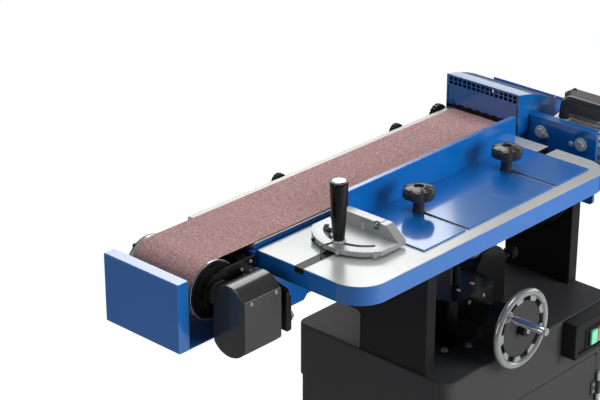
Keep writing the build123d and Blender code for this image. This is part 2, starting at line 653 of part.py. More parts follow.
KNOB_FOOT = FENCE_FOOT + FENCE_SHEET + RUN_GAP
KNOB_Z = (16.0, 42.0)
KNOB_R = 30.5
KNOB_LOBES = 6
KNOB_BITE = 9.0
KNOB_BITE_AT = 35.0
KNOB_NECK_R = 11.0
KNOB_RECESS_R = 9.0
for name, x in zip(("fence_knob_left", "fence_knob_right"), CLAMP_X):
    with BuildPart() as fence_knob:
        with BuildSketch(level(KNOB_Z[0])):
            with Locations((x, CLAMP_Y)):
                Circle(KNOB_R)
                with PolarLocations(KNOB_BITE_AT, KNOB_LOBES):
                    Circle(KNOB_BITE, mode=Mode.SUBTRACT)
        extrude(amount=KNOB_Z[1] - KNOB_Z[0])
        fillet(fence_knob.faces().sort_by(Axis.Z)[-1].edges(), radius=4)
        rod("z", (x, CLAMP_Y), KNOB_RECESS_R, (KNOB_Z[1] - 4, KNOB_Z[1] + 1), Mode.SUBTRACT)
        rod("z", (x, CLAMP_Y), KNOB_NECK_R, (KNOB_FOOT, KNOB_Z[0]))
        rod("z", (x, CLAMP_Y), CLAMP_STUD_R, (BAR_Z[0] + 0.5, KNOB_FOOT))
    save(fence_knob, name)

# Mitre gauge: bar with its pivot, half-moon head with an arc slot, and a tapered locking handle
MITRE_BASE_Z = (-7.0, 2.0)
MITRE_HALF = 82.0
MITRE_WALL_X = (168.0, 188.0)
MITRE_CREST = 52.0
MITRE_SLOT_START = 118.0
MITRE_SLOT_SWEEP = 115.0
MITRE_SLIT_Y = (-150.5, -148.5)
MITRE_RECESS_Y = (-149.0, -137.0)
MITRE_RECESS_Z = 12.0
MITRE_PIN_R = 6.0
MITRE_FOOT_R = 16.0
MITRE_BAR_X = (0.0, 240.0)
HANDLE_X = MITRE_PIVOT_X - MITRE_SLOT_R
HANDLE_FOOT = 6.0
HANDLE_R = (10.5, 16.8)
HANDLE_HEIGHT = 114.0
COLLAR_R = 13.0
with BuildPart() as mitre_bar:
    block(MITRE_BAR_X, BAR_Y, BAR_Z)
    rod("z", (MITRE_PIVOT_X, GROOVE_Y), MITRE_PIN_R, (BAR_Z[1], MITRE_TOP - 8))
    rod("z", (HANDLE_X, GROOVE_Y), CLAMP_STUD_R + FIT, (BAR_Z[0] - 1, BAR_Z[1] + 1), Mode.SUBTRACT)
save(mitre_bar, "mitre_bar")

with BuildPart() as mitre_head:
    with BuildSketch(level(MITRE_BASE_Z[0])):
        with Locations((MITRE_PIVOT_X, GROOVE_Y)):
            Circle(MITRE_R)
        with Locations((MITRE_WALL_X[1] - MITRE_R, GROOVE_Y)):
            Rectangle(2 * MITRE_R, 2 * MITRE_HALF, mode=Mode.INTERSECT)
    extrude(amount=MITRE_BASE_Z[1] - MITRE_BASE_Z[0])
    with BuildSketch(level(MITRE_BASE_Z[0])):
        with BuildLine() as slot_line:
            CenterArc((MITRE_PIVOT_X, GROOVE_Y), MITRE_SLOT_R, MITRE_SLOT_START, MITRE_SLOT_SWEEP)
        SlotArc(slot_line.wires()[0], 2 * CLAMP_STUD_R + 1)
    extrude(amount=MITRE_BASE_Z[1] - MITRE_BASE_Z[0], mode=Mode.SUBTRACT)
    with BuildSketch(end_on(MITRE_WALL_X[0])):
        with BuildLine():
            Polyline(
                (GROOVE_Y - MITRE_HALF, MITRE_BASE_Z[0]),
                (GROOVE_Y + MITRE_HALF, MITRE_BASE_Z[0]),
                (GROOVE_Y + MITRE_HALF, MITRE_BASE_Z[1]),
                (GROOVE_Y + MITRE_CREST, MITRE_TOP),
                (GROOVE_Y - MITRE_CREST, MITRE_TOP),
                (GROOVE_Y - MITRE_HALF, MITRE_BASE_Z[1]),
                close=True,
            )
        make_face()
    extrude(amount=MITRE_WALL_X[1] - MITRE_WALL_X[0])
    # Clamp slit across the wall, with a recess for its screw
    recess_x = (MITRE_WALL_X[0] - 1, MITRE_WALL_X[0] + 5)
    block(recess_x, MITRE_RECESS_Y, (MITRE_RECESS_Z, MITRE_TOP + 1), Mode.SUBTRACT)
    slit_x = (MITRE_WALL_X[0] - 1, MITRE_WALL_X[1] + 1)
    block(slit_x, MITRE_SLIT_Y, (MITRE_RECESS_Z - 2, MITRE_TOP + 1), Mode.SUBTRACT)
    # Round foot that sits on the bar, and the blind bore for the pivot
    rod("z", (MITRE_PIVOT_X, GROOVE_Y), MITRE_FOOT_R, (TABLE_Z[1] + SLIDE_LIFT, MITRE_BASE_Z[0]))
    rod("z", (MITRE_PIVOT_X, GROOVE_Y), MITRE_PIN_R + FIT, (TABLE_Z[1] - 1, MITRE_TOP - 7), Mode.SUBTRACT)
save(mitre_head, "mitre_head")

with BuildPart() as mitre_handle:
    with Locations(DATUM + Vector(HANDLE_X, GROOVE_Y, HANDLE_FOOT)):
        Cone(*HANDLE_R, HANDLE_HEIGHT, align=(Align.CENTER, Align.CENTER, Align.MIN))
    fillet(mitre_handle.edges().filter_by(GeomType.CIRCLE).sort_by(Axis.Z)[-1], radius=4)
    rod("z", (HANDLE_X, GROOVE_Y), COLLAR_R, (MITRE_BASE_Z[1] + RUN_GAP, HANDLE_FOOT))
    rod("z", (HANDLE_X, GROOVE_Y), CLAMP_STUD_R, (BAR_Z[0] + 0.5, HANDLE_FOOT - 3))
save(mitre_handle, "mitre_handle")

# Head: spine plate in front of the belt, with ribs and the guide block inside the belt's loop
SPINE_Y = (-9.0, -4.0)
SPINE_X = (-7.0, 900.0)
SPINE_TOP = -14.0
SPINE_FOOT = -147.0
SPINE_DROP = 10.0
SPINE_DROP_X = (123.0, 133.0)
SPINE_HOLE_R = 40.0
SPINE_RIBS_X = (220.0, 420.0, 620.0, 772.0)
SPINE_RIB = 12.0
SPINE_RIB_END = 140.0
GUIDE_BLOCK_X = (5.0, 125.0)
GUIDE_BLOCK_Y = (22.0, 120.0)
END_LUG_Z = -98.0
PLATEN_Z = (-12.9, -2.9)
GUIDE_RODS = ((45.0, -78.0), (95.0, -30.0))
GUIDE_ROD_R = 10.0
LEVER_XZ = (60.0, -54.0)
LEVER_R = 8.0
LEVER_THROW = 10.0
LEVER_PIN_R = 4.0
RIB_Z = (-95.0, PLATEN_Z[0])
with BuildPart() as spine:
    with BuildSketch(upright(SPINE_Y[0])):
        with BuildLine():
            Polyline(
                (SPINE_X[0], SPINE_TOP),
                (SPINE_X[1], SPINE_TOP),
                (SPINE_X[1], SPINE_FOOT),
                (SPINE_DROP_X[1], SPINE_FOOT),
                (SPINE_DROP_X[0], SPINE_FOOT - SPINE_DROP),
                (SPINE_X[0], SPINE_FOOT - SPINE_DROP),
                close=True,
            )
        make_face()
    extrude(amount=SPINE_Y[0] - SPINE_Y[1])
    rod("y", (DRIVE_X, DRUM_Z), SPINE_HOLE_R, (SPINE_Y[0] - 1, SPINE_Y[1] + 1), Mode.SUBTRACT)
    block((SPINE_X[0], SPINE_X[0] + 4), (SPINE_Y[1], 3), (END_LUG_Z, SPINE_TOP))
    for x in SPINE_RIBS_X:
        block((x, x + SPINE_RIB), (SPINE_Y[1], SPINE_RIB_END), RIB_Z)
    block(GUIDE_BLOCK_X, GUIDE_BLOCK_Y, RIB_Z)
    block((GUIDE_BLOCK_X[1] - SPINE_RIB, GUIDE_BLOCK_X[1]), (SPINE_Y[1], GUIDE_BLOCK_Y[0]), RIB_Z)
    for spot in GUIDE_RODS:
        rod("x", spot, GUIDE_ROD_R + FIT, (GUIDE_BLOCK_X[0] - 1, GUIDE_BLOCK_X[1] + 1), Mode.SUBTRACT)
    rod("y", LEVER_XZ, LEVER_R + FIT, (GUIDE_BLOCK_Y[0] - 1, GUIDE_BLOCK_Y[1] + 1), Mode.SUBTRACT)
save(spine, "spine")

# Platen with a rim behind the belt, which the rear knobs are screwed into
REAR_KNOBS = ((250.0, 16.0), (594.0, 17.0), (726.0, 22.0))
REAR_KNOB_Z = -15.0
REAR_STUD_R = 4.0
REAR_NECK_R = 8.0
REAR_HEAD_Y = (169.0, 182.0)
PLATEN_X = (0.0, 785.0)
PLATEN_Y = (-4.0, 165.0)
PLATEN_EDGE_R = 5.0
RIM_Y = 155.0
RIM_FOOT = -30.0
PAD_X = (8.0, 777.0)
with BuildPart() as platen:
    block(PLATEN_X, PLATEN_Y, PLATEN_Z)
    fillet(platen.edges().filter_by(Axis.Y).group_by(Axis.Z)[-1], radius=PLATEN_EDGE_R)
    block(PLATEN_X, (RIM_Y, PLATEN_Y[1]), (RIM_FOOT, PLATEN_Z[0]))
    for x, radius in REAR_KNOBS:
        rod("y", (x, REAR_KNOB_Z), REAR_STUD_R + FIT, (RIM_Y - 1, PLATEN_Y[1] + 1), Mode.SUBTRACT)
save(platen, "platen")

with BuildPart() as graphite_pad:
    block(PAD_X, (0, BELT_WIDTH), (PLATEN_Z[1], -BELT_THICK - RUN_GAP))
save(graphite_pad, "graphite_pad")

for number, (x, radius) in enumerate(REAR_KNOBS, start=1):
    with BuildPart() as rear_knob:
        rod("y", (x, REAR_KNOB_Z), radius, REAR_HEAD_Y)
        fillet(rear_knob.edges().filter_by(GeomType.CIRCLE), radius=3)
        rod("y", (x, REAR_KNOB_Z), REAR_NECK_R, (PLATEN_Y[1] + RUN_GAP, REAR_HEAD_Y[0] + 1))
        rod("y", (x, REAR_KNOB_Z), REAR_STUD_R, (RIM_Y + 0.5, REAR_HEAD_Y[0] - 2))
    save(rear_knob, f"rear_knob_{number}")

# Sheet covers of the head
COVER_X = (-200.0, -175.0)
COVER_Y = (-18.0, 168.0)
COVER_Z = (-139.0, -6.6)
COVER_EDGE_R = 2.0
TRAY_GAP = 6.0
TRAY_END = (118.0, 150.0)
with BuildPart() as end_cover:
    block(COVER_X, COVER_Y, COVER_Z)
    fillet(end_cover.edges().filter_by(Axis.Y).sort_by(Axis.X)[:2], radius=COVER_EDGE_R)
    block(
        (COVER_X[0] + SHEET, COVER_X[1] + 1),
        (COVER_Y[0] + SHEET, COVER_Y[1] - SHEET),
        (COVER_Z[0] + SHEET, COVER_Z[1] - SHEET),
        Mode.SUBTRACT,
    )
    tray_x, tray_z = SPINE_X[0] - TRAY_GAP, (COVER_Z[0], COVER_Z[0] + SHEET)
    block((COVER_X[1] - 1, tray_x), COVER_Y, tray_z)
    block((tray_x - 1, TRAY_END[0]), (SPINE_Y[1], TRAY_END[1]), tray_z)
save(end_cover, "end_cover")

GUARD_X = 744.0
GUARD_TOP = 71.0
GUARD_CROWN = (824.0, 50.5)
GUARD_END = 898.0
GUARD_HEEL = 12.0
GUARD_LIP = 7.0
HOLE_PITCH = 11.7
HOLE_W = 8.8
HOLE_H = 7.2
HOLE_ROWS = (54.6, 63.3)
HOLE_COLUMNS = 15


def guard_outline(y, inset):
    """Side face of the drum guard at depth y, drawn in by the sheet's thickness."""
    with BuildSketch(upright(y)) as face:
        with BuildLine():
            Polyline(
                (GUARD_END - inset, GUARD_HEEL - inset),
                (GUARD_END - inset, SPINE_TOP),
                (GUARD_X + inset, SPINE_TOP),
                (GUARD_X + inset, GUARD_TOP - inset),
            )
            ThreePointArc(
                (GUARD_X + inset, GUARD_TOP - inset),
                (GUARD_CROWN[0] - 0.4 * inset, GUARD_CROWN[1] - 0.9 * inset),
                (GUARD_END - inset, GUARD_HEEL - inset),
            )
        make_face()
    return face.sketch


with BuildPart() as drive_guard:
    extrude(guard_outline(COVER_Y[0], 0), amount=COVER_Y[0] - COVER_Y[1])
    inside_y = (COVER_Y[0] + SHEET, COVER_Y[1] - SHEET)
    extrude(guard_outline(inside_y[0], SHEET), amount=inside_y[0] - inside_y[1], mode=Mode.SUBTRACT)
    face_x = (GUARD_X - 1, GUARD_X + SHEET + 1)
    block(face_x, inside_y, (SPINE_TOP - 1, GUARD_LIP), Mode.SUBTRACT)
    block((GUARD_END - SHEET - 1, GUARD_END + 1), inside_y, (SPINE_TOP - 1, GUARD_HEEL - 3), Mode.SUBTRACT)
    middle_y = (COVER_Y[0] + COVER_Y[1]) / 2
    for row in HOLE_ROWS:
        for column in range(HOLE_COLUMNS):
            y = middle_y + HOLE_PITCH * (column - (HOLE_COLUMNS - 1) / 2)
            block(
                face_x,
                (y - HOLE_W / 2, y + HOLE_W / 2),
                (row - HOLE_H / 2, row + HOLE_H / 2),
                Mode.SUBTRACT,
            )
    # Slits beside the front flap, and the foot flange that sits on the spine's top edge
    for y in (inside_y[0] + 2, inside_y[1] - 4):
        block(face_x, (y, y + SHEET), (GUARD_LIP - 1, HOLE_ROWS[0] - HOLE_H), Mode.SUBTRACT)
    block((GUARD_X, GUARD_END), (COVER_Y[0], SPINE_Y[1] - 0.5), (SPINE_TOP, SPINE_TOP + SHEET))
save(drive_guard, "drive_guard")

HOOD_X = 900.0
HOOD_Y = (-16.0, 166.0)
HOOD_Z = (-165.0, 20.5)
HOOD_BOX_X = (903.0, 965.0)
HOOD_BOX_Y = (-14.0, 162.0)
HOOD_BOX_Z = (-158.0, -16.0)
SPIGOT_R = 50.0
SPIGOT_YZ = (74.0, -104.0)
SPIGOT_END = 1010.0
HOOD_EDGE_R = 6.0
with BuildPart() as dust_hood:
    block((HOOD_X, HOOD_BOX_X[0]), HOOD_Y, HOOD_Z)
    block(HOOD_BOX_X, HOOD_BOX_Y, HOOD_BOX_Z)
    fillet(dust_hood.faces().sort_by(Axis.X)[-1].edges(), radius=HOOD_EDGE_R)
    rod("x", SPIGOT_YZ, SPIGOT_R, (HOOD_BOX_X[1], SPIGOT_END))
    block(
        (HOOD_X - 1, HOOD_BOX_X[1] - SHEET),
        (HOOD_BOX_Y[0] + SHEET, HOOD_BOX_Y[1] - SHEET),
        (HOOD_BOX_Z[0] + SHEET, HOOD_BOX_Z[1] - SHEET),
        Mode.SUBTRACT,
    )
    rod("x", SPIGOT_YZ, SPIGOT_R - SHEET, (HOOD_BOX_X[1] - SHEET - 1, SPIGOT_END + 1), Mode.SUBTRACT)
save(dust_hood, "dust_hood")

# Motor on its bracket: the motor lies along Y, in line with the drive drum
FOOT_Z = (-104.0, MOTOR_BOLT_Z)
BRACKET_FOOT = -130.0
BRACKET_CORNER = 8.0
BRACKET_LIP = 14.0
BOLT_R = 5.0
BOLT_HEAD_R = 9.5
BOLT_HEAD = 5.0
WASHER_R = 14.0
WASHER = 2.5
BOLT_REACH = 20.0
with BuildPart() as motor_bracket:
    block(BRACKET_X, BRACKET_Y, (BRACKET_FOOT, BRACKET_TOP))
    fillet(motor_bracket.edges().filter_by(Axis.X).group_by(Axis.Y)[0], radius=BRACKET_CORNER)
    lip_x = (BRACKET_X[0], BRACKET_X[1] + BRACKET_LIP)
    block(lip_x, (BRACKET_Y[0] + BRACKET_CORNER, BRACKET_Y[1]), (BRACKET_TOP - SHEET, BRACKET_TOP))
    block(BRACKET_X, (BRACKET_Y[1], SPINE_Y[0]), (BRACKET_FOOT, SPINE_TOP - 2))
    for y in MOTOR_BOLT_Y:
        for z in FOOT_Z:
            rod("x", (y, z), BOLT_R + FIT, (BRACKET_X[0] - 1, BRACKET_X[1] + 1), Mode.SUBTRACT)
save(motor_bracket, "motor_bracket")

with BuildPart() as motor_bolts:
    for y in MOTOR_BOLT_Y:
        rod("x", (y, MOTOR_BOLT_Z), WASHER_R, (BRACKET_X[0] - WASHER, BRACKET_X[0]))
        with BuildSketch(end_on(BRACKET_X[0] - WASHER - BOLT_HEAD)):
            with Locations((y, MOTOR_BOLT_Z)):
                RegularPolygon(BOLT_HEAD_R, 6)
        extrude(amount=BOLT_HEAD)
        for z in FOOT_Z:
            low = BRACKET_X[0] if z == MOTOR_BOLT_Z else BRACKET_X[0] - 1
            rod("x", (y, z), BOLT_R, (low, BRACKET_X[1] + BOLT_REACH))
save(motor_bolts, "motor_bolts")

MOTOR_CENTER = (DRIVE_X, DRUM_Z)
FIN_COUNT = 28
FIN = (8.0, 3.0)
SHIELD = 12.0
SHIELD_WALL = 8.0
BOSS_R = 34.0
BOSS = 14.0
FOOT_HALF = 13.0
FOOT_X = (BRACKET_X[1], DRIVE_X - 44.0)
FOOT_Y = (MOTOR_BOLT_Y[0] - 16.0, MOTOR_BOLT_Y[1] + 14.0)
TERMINAL_Z = (18.0, 58.0)
TERMINAL_XY = (866.0, -101.0)
TERMINAL_SIZE = (38.0, 104.0)
TERMINAL_CORNER = 6.0
TERMINAL_FOOT = ((852.0, 880.0), (-135.0, -60.0), (-6.0, TERMINAL_Z[0]))
HANDLE_LEG_X = 828.0
HANDLE_LEG_Y = (-68.0, -210.0)
HANDLE_Z = (14.0, 59.0)
HANDLE_BOSS = (10.0, 12.0, -20.0)
HANDLE_BAR_R = 7.0
HANDLE_BEND_R = 18.0
CORE_R = MOTOR_R - 6.0
with BuildPart() as motor_housing:
    rod("y", MOTOR_CENTER, CORE_R, MOTOR_Y)
    fin_length = MOTOR_Y[1] - MOTOR_Y[0] - 2 * SHIELD
    with Locations(upright(MOTOR_Y[1] - SHIELD).location * Location((*MOTOR_CENTER, 0))):
        with PolarLocations(MOTOR_R - FIN[0] / 2, FIN_COUNT):
            Box(*FIN, fin_length, align=(Align.CENTER, Align.CENTER, Align.MIN))
    rod("y", MOTOR_CENTER, MOTOR_R, (MOTOR_Y[1] - SHIELD, MOTOR_Y[1]))
    rod("y", MOTOR_CENTER, MOTOR_R, (MOTOR_Y[0], MOTOR_Y[0] + SHIELD))
    rod("y", MOTOR_CENTER, BOSS_R, (MOTOR_Y[1], MOTOR_Y[1] + BOSS))
    for z in FOOT_Z:
        block(FOOT_X, FOOT_Y, (z - FOOT_HALF, z + FOOT_HALF))
        for y in MOTOR_BOLT_Y:
            rod("x", (y, z), BOLT_R + FIT, (FOOT_X[0] - 1, FOOT_X[0] + BOLT_REACH + 1), Mode.SUBTRACT)
    block(*TERMINAL_FOOT)
    for y in HANDLE_LEG_Y:
        half_x, half_y, boss_foot = HANDLE_BOSS
        boss_x = (HANDLE_LEG_X - half_x, HANDLE_LEG_X + half_x)
        block(boss_x, (y - half_y, y + half_y), (boss_foot, HANDLE_Z[0]))
    inside_y = (MOTOR_Y[0] + SHIELD_WALL, MOTOR_Y[1] - SHIELD_WALL)
    rod("y", MOTOR_CENTER, CORE_R - 6, inside_y, Mode.SUBTRACT)
    rod("y", MOTOR_CENTER, SHAFT_R + FIT, (MOTOR_Y[0] - 1, MOTOR_Y[1] + BOSS + 1), Mode.SUBTRACT)
save(motor_housing, "motor_housing")

FAN_Y = (-252.0, -240.0)
FAN_HUB_R = 20.0
FAN_BLADES = 8
FAN_BLADE = (38.0, 3.0)
FAN_BLADE_AT = 36.0
ROTOR_R = 40.0
ROTOR_Y = (-205.0, -75.0)
SHAFT_Y = (-258.0, 132.0)
with BuildPart() as motor_rotor:
    rod("y", MOTOR_CENTER, SHAFT_R, SHAFT_Y)
    rod("y", MOTOR_CENTER, ROTOR_R, ROTOR_Y)
    rod("y", MOTOR_CENTER, FAN_HUB_R, FAN_Y)
    with Locations(upright(FAN_Y[1]).location * Location((*MOTOR_CENTER, 0))):
        with PolarLocations(FAN_BLADE_AT, FAN_BLADES):
            Box(*FAN_BLADE, FAN_Y[1] - FAN_Y[0], align=(Align.CENTER, Align.CENTER, Align.MIN))
save(motor_rotor, "motor_rotor")

FAN_COVER_NEAR = -274.0
FAN_COVER_WALL = 4.0
FAN_COVER_SIDE = 3.0
FAN_COVER_EDGE_R = 8.0
FAN_HOLE_R = 4.0
FAN_HOLE_RINGS = ((16.0, 8), (30.0, 14), (44.0, 20))
with BuildPart() as fan_cover:
    rod("y", MOTOR_CENTER, MOTOR_R, (FAN_COVER_NEAR, MOTOR_Y[0]))
    fillet(fan_cover.edges().filter_by(GeomType.CIRCLE).sort_by(Axis.Y)[0], radius=FAN_COVER_EDGE_R)
    inside_y = (FAN_COVER_NEAR + FAN_COVER_WALL, MOTOR_Y[0] + 1)
    rod("y", MOTOR_CENTER, MOTOR_R - FAN_COVER_SIDE, inside_y, Mode.SUBTRACT)
    for ring, count in FAN_HOLE_RINGS:
        with BuildSketch(upright(inside_y[0] + 1)):
            with Locations(MOTOR_CENTER):
                with PolarLocations(ring, count):
                    Circle(FAN_HOLE_R)
        extrude(amount=FAN_COVER_WALL + 2, mode=Mode.SUBTRACT)
save(fan_cover, "fan_cover")

with BuildPart() as terminal_box:
    with BuildSketch(level(TERMINAL_Z[0])):
        with Locations(TERMINAL_XY):
            RectangleRounded(*TERMINAL_SIZE, TERMINAL_CORNER)
    extrude(amount=TERMINAL_Z[1] - TERMINAL_Z[0], taper=4)
    fillet(terminal_box.faces().sort_by(Axis.Z)[-1].edges(), radius=2)
save(terminal_box, "terminal_box")

# Bar handle for swinging the head, on two bosses of the motor
with BuildPart() as head_handle:
    with BuildLine() as bar_line:
        FilletPolyline(
            DATUM + Vector(HANDLE_LEG_X, HANDLE_LEG_Y[0], HANDLE_Z[0]),
            DATUM + Vector(HANDLE_LEG_X, HANDLE_LEG_Y[0], HANDLE_Z[1]),
            DATUM + Vector(HANDLE_LEG_X, HANDLE_LEG_Y[1], HANDLE_Z[1]),
            DATUM + Vector(HANDLE_LEG_X, HANDLE_LEG_Y[1], HANDLE_Z[0]),
            radius=HANDLE_BEND_R,
        )
    with BuildSketch(Plane(origin=bar_line.line @ 0, z_dir=bar_line.line % 0)):
        Circle(HANDLE_BAR_R)
    sweep()
save(head_handle, "head_handle")

# Quadrants: two slotted plates in front of and under the spine, centred on the tilt axis
QUADRANT_Y = (-200.0, 125.0)
QUADRANT_TOP = -55.0
QUADRANT_FOOT = -240.0
SLOT_SWEEP = 90.8
with BuildPart() as tilt_quadrants:
    for x in QUADRANT_X:
        with BuildSketch(end_on(x)):
            with Locations((PIVOT_Y, PIVOT_Z)):
                Circle(QUADRANT_R)
            with BuildLine():
                Polyline(
                    (QUADRANT_Y[0], QUADRANT_TOP),
                    (SPINE_Y[0], QUADRANT_TOP),
                    (SPINE_Y[0], SPINE_FOOT - 1),
                    (QUADRANT_Y[1], SPINE_FOOT - 1),
                    (QUADRANT_Y[1], QUADRANT_FOOT),
                    (QUADRANT_Y[0], QUADRANT_FOOT),
                    close=True,
                )
            make_face(mode=Mode.INTERSECT)
            with BuildLine() as slot_line:
                CenterArc((PIVOT_Y, PIVOT_Z), TILT_R, STUD_ANGLE - SLOT_SWEEP + 0.4, SLOT_SWEEP)
            SlotArc(slot_line.wires()[0], 2 * STUD_R + 0.8, mode=Mode.SUBTRACT)
        extrude(amount=QUADRANT_THICK)
save(tilt_quadrants, "tilt_quadrants")

# Drive drum on the motor's shaft
DRUM_Y = (-2.0, -2.0 + DRUM_LENGTH)
DRIVE_SHELL = 6.0
DRIVE_WEB_Y = (96.0, 124.0)
with BuildPart() as drive_drum:
    rod("y", MOTOR_CENTER, DRUM_R, DRUM_Y)
    rod("y", MOTOR_CENTER, DRUM_R - DRIVE_SHELL, (DRUM_Y[0] - 1, DRIVE_WEB_Y[0]), Mode.SUBTRACT)
    rod("y", MOTOR_CENTER, DRUM_R - DRIVE_SHELL, (DRIVE_WEB_Y[1], DRUM_Y[1] + 1), Mode.SUBTRACT)
    bore_y = (DRIVE_WEB_Y[0] - 1, DRIVE_WEB_Y[1] + 1)
    rod("y", MOTOR_CENTER, SHAFT_R + PRESS_FIT, bore_y, Mode.SUBTRACT)
save(drive_drum, "drive_drum")

# Idler end: carrier on two guide rods, quill with the oscillation gearbox, drum and worm
IDLER_CENTER = (IDLER_X, DRUM_Z)
IDLER_NEAR = -8.0
IDLER_SHELL = 3.2
IDLER_WEB_Y = (102.0, 128.0)
DISC_Y = (-11.0, -6.0)
DISC_R = DRUM_R - IDLER_SHELL - 1.2
ARM_X = (IDLER_X, -12.0)
ARM_Y = (-17.0, -12.2)
ARM_Z = (-92.0, -16.0)
CROSS_X = (-42.0, -20.0)
CROSS_END = 120.0
SLEEVE_R = QUILL_R + 12.0
SLEEVE_Y = (-20.0, 95.0)
GUIDE_END = 110.0
STRAP_X = 75.0
STRAP_Y = (6.0, 12.0)
STRAP_Z = (-75.0, -30.0)
STRAP_SLOT_Z = (-66.0, -37.0)
with BuildPart() as idler_carrier:
    rod("y", IDLER_CENTER, DISC_R, DISC_Y)
    block(ARM_X, ARM_Y, ARM_Z)
    block(CROSS_X, (ARM_Y[0], CROSS_END), (ARM_Z[0], ARM_Z[1] - 2))
    rod("y", IDLER_CENTER, SLEEVE_R, SLEEVE_Y)
    rod("y", IDLER_CENTER, QUILL_R + FIT, (SLEEVE_Y[0] - 1, SLEEVE_Y[1] + 1), Mode.SUBTRACT)
    for spot in GUIDE_RODS:
        rod("x", spot, GUIDE_ROD_R, (CROSS_X[0], GUIDE_END))
    # Strap with the slot that the tension lever's pin works in
    block((CROSS_X[0], STRAP_X), STRAP_Y, STRAP_Z)
    pin_x = LEVER_XZ[0] - LEVER_THROW / 2
    slot_half = LEVER_PIN_R + RUN_GAP
    slot_y = (STRAP_Y[0] - 1, STRAP_Y[1] + 1)
    block((pin_x - slot_half, pin_x + slot_half), slot_y, STRAP_SLOT_Z, Mode.SUBTRACT)
save(idler_carrier, "idler_carrier")

# Bracket beside the gearbox, with the yoke that the crank pin works in
YOKE_X = (-84.0, -76.0)
YOKE_HALF = 17.0
YOKE_WINDOW = 11.0
YOKE_ARM_HALF = 8.0
ANCHOR_X = (-9.0, 4.0)
ANCHOR_Y = -90.0
ANCHOR_Z = (-143.0, -76.0)
ANCHOR_EDGE_R = 3.0
SHELF = ((-30.0, ANCHOR_X[1]), (-58.0, ARM_Y[0]), (ANCHOR_Z[1] - 16.0, ANCHOR_Z[1]))
TRACKING_XY = (-19.0, -40.0)
TRACKING_STUD_R = 5.0
TRACKING_HEAD_R = 9.0
TRACKING_HEAD_Z = (-70.0, -53.0)
yoke_y, yoke_z = WHEEL_AXIS_YZ
with BuildPart() as anchor_bracket:
    block(ANCHOR_X, (ANCHOR_Y, ARM_Y[0]), ANCHOR_Z)
    block(*SHELF)
    fillet(anchor_bracket.edges().filter_by(Axis.Y).group_by(Axis.Z)[0], radius=ANCHOR_EDGE_R)
    block(YOKE_X, (yoke_y - YOKE_HALF, yoke_y + YOKE_HALF), (yoke_z - YOKE_HALF, yoke_z + YOKE_HALF))
    block(
        (YOKE_X[0] - 1, YOKE_X[1] + 1),
        (yoke_y - YOKE_WINDOW, yoke_y + YOKE_WINDOW),
        (yoke_z - YOKE_WINDOW, yoke_z + YOKE_WINDOW),
        Mode.SUBTRACT,
    )
    yoke_arm_y = (yoke_y - YOKE_HALF, yoke_y - YOKE_WINDOW)
    yoke_arm_z = (yoke_z - YOKE_ARM_HALF, yoke_z + YOKE_ARM_HALF)
    block((YOKE_X[1] - 4, ANCHOR_X[0] + 1), yoke_arm_y, yoke_arm_z)
    rod("z", TRACKING_XY, TRACKING_STUD_R + FIT, (SHELF[2][0] - 1, SHELF[2][1] + 1), Mode.SUBTRACT)
save(anchor_bracket, "anchor_bracket")

with BuildPart() as tracking_knob:
    rod("z", TRACKING_XY, TRACKING_STUD_R, (SHELF[2][0] + 1, TRACKING_HEAD_Z[0] + 2))
    rod("z", TRACKING_XY, TRACKING_HEAD_R, TRACKING_HEAD_Z)
    fillet(tracking_knob.edges().filter_by(GeomType.CIRCLE).sort_by(Axis.Z)[-1], radius=3)
save(tracking_knob, "tracking_knob")


def box_outline(x, inset):
    """Gearbox face at x: straight sides with a domed top and bottom, drawn in by a wall."""
    front, back = BOX_Y[0] + inset, BOX_Y[1] - inset
    low, high = BOX_SHOULDER_Z
    middle = (front + back) / 2
    with BuildSketch(end_on(x)) as face:
        with BuildLine():
            Line((back, low), (back, high))
            ThreePointArc((back, high), (middle, high + BOX_DOME - inset), (front, high))
            Line((front, high), (front, low))
            ThreePointArc((front, low), (middle, low - BOX_DOME + inset), (back, low))
        make_face()
    return face.sketch


with BuildPart() as gearbox_housing:
    extrude(box_outline(BOX_X[0], 0), amount=BOX_X[1] - BOX_X[0])
    fillet(gearbox_housing.edges().group_by(Axis.X)[0], radius=2)
    rod("y", IDLER_CENTER, QUILL_R, (BOX_Y[1] - 1, QUILL_END))
    cavity_x = (BOX_X[0] + BOX_WALL, BOX_X[1] - BOX_WALL)
    extrude(box_outline(cavity_x[0], BOX_WALL), amount=cavity_x[1] - cavity_x[0], mode=Mode.SUBTRACT)
    block(MOUTH_X, (BOX_Y[0] - 1, BOX_Y[0] + BOX_WALL + 1), MOUTH_Z, Mode.SUBTRACT)
    rod("y", IDLER_CENTER, SHAFT_R + FIT, (BOX_Y[1] - BOX_WALL - 1, QUILL_END + 1), Mode.SUBTRACT)
    rod("x", WHEEL_AXIS_YZ, WORM_AXLE_R + FIT, (BOX_X[0] + 1.5, BOX_X[0] + BOX_WALL + 1), Mode.SUBTRACT)
    block(
        (BOX_X[1] - BOX_WALL - 1, BOX_X[1] + 1),
        (yoke_y - YOKE_HALF - 5, yoke_y - YOKE_WINDOW + 5),
        (yoke_arm_z[0] - 3, yoke_arm_z[1] + 3),
        Mode.SUBTRACT,
    )
save(gearbox_housing, "gearbox_housing")

with BuildPart() as gearbox_plate:
    block(BOX_X, (BOX_Y[0] - LID, BOX_Y[0]), BOX_SHOULDER_Z)
    fillet(gearbox_plate.edges().filter_by(Axis.Y), radius=LID_CORNER)
save(gearbox_plate, "gearbox_plate")

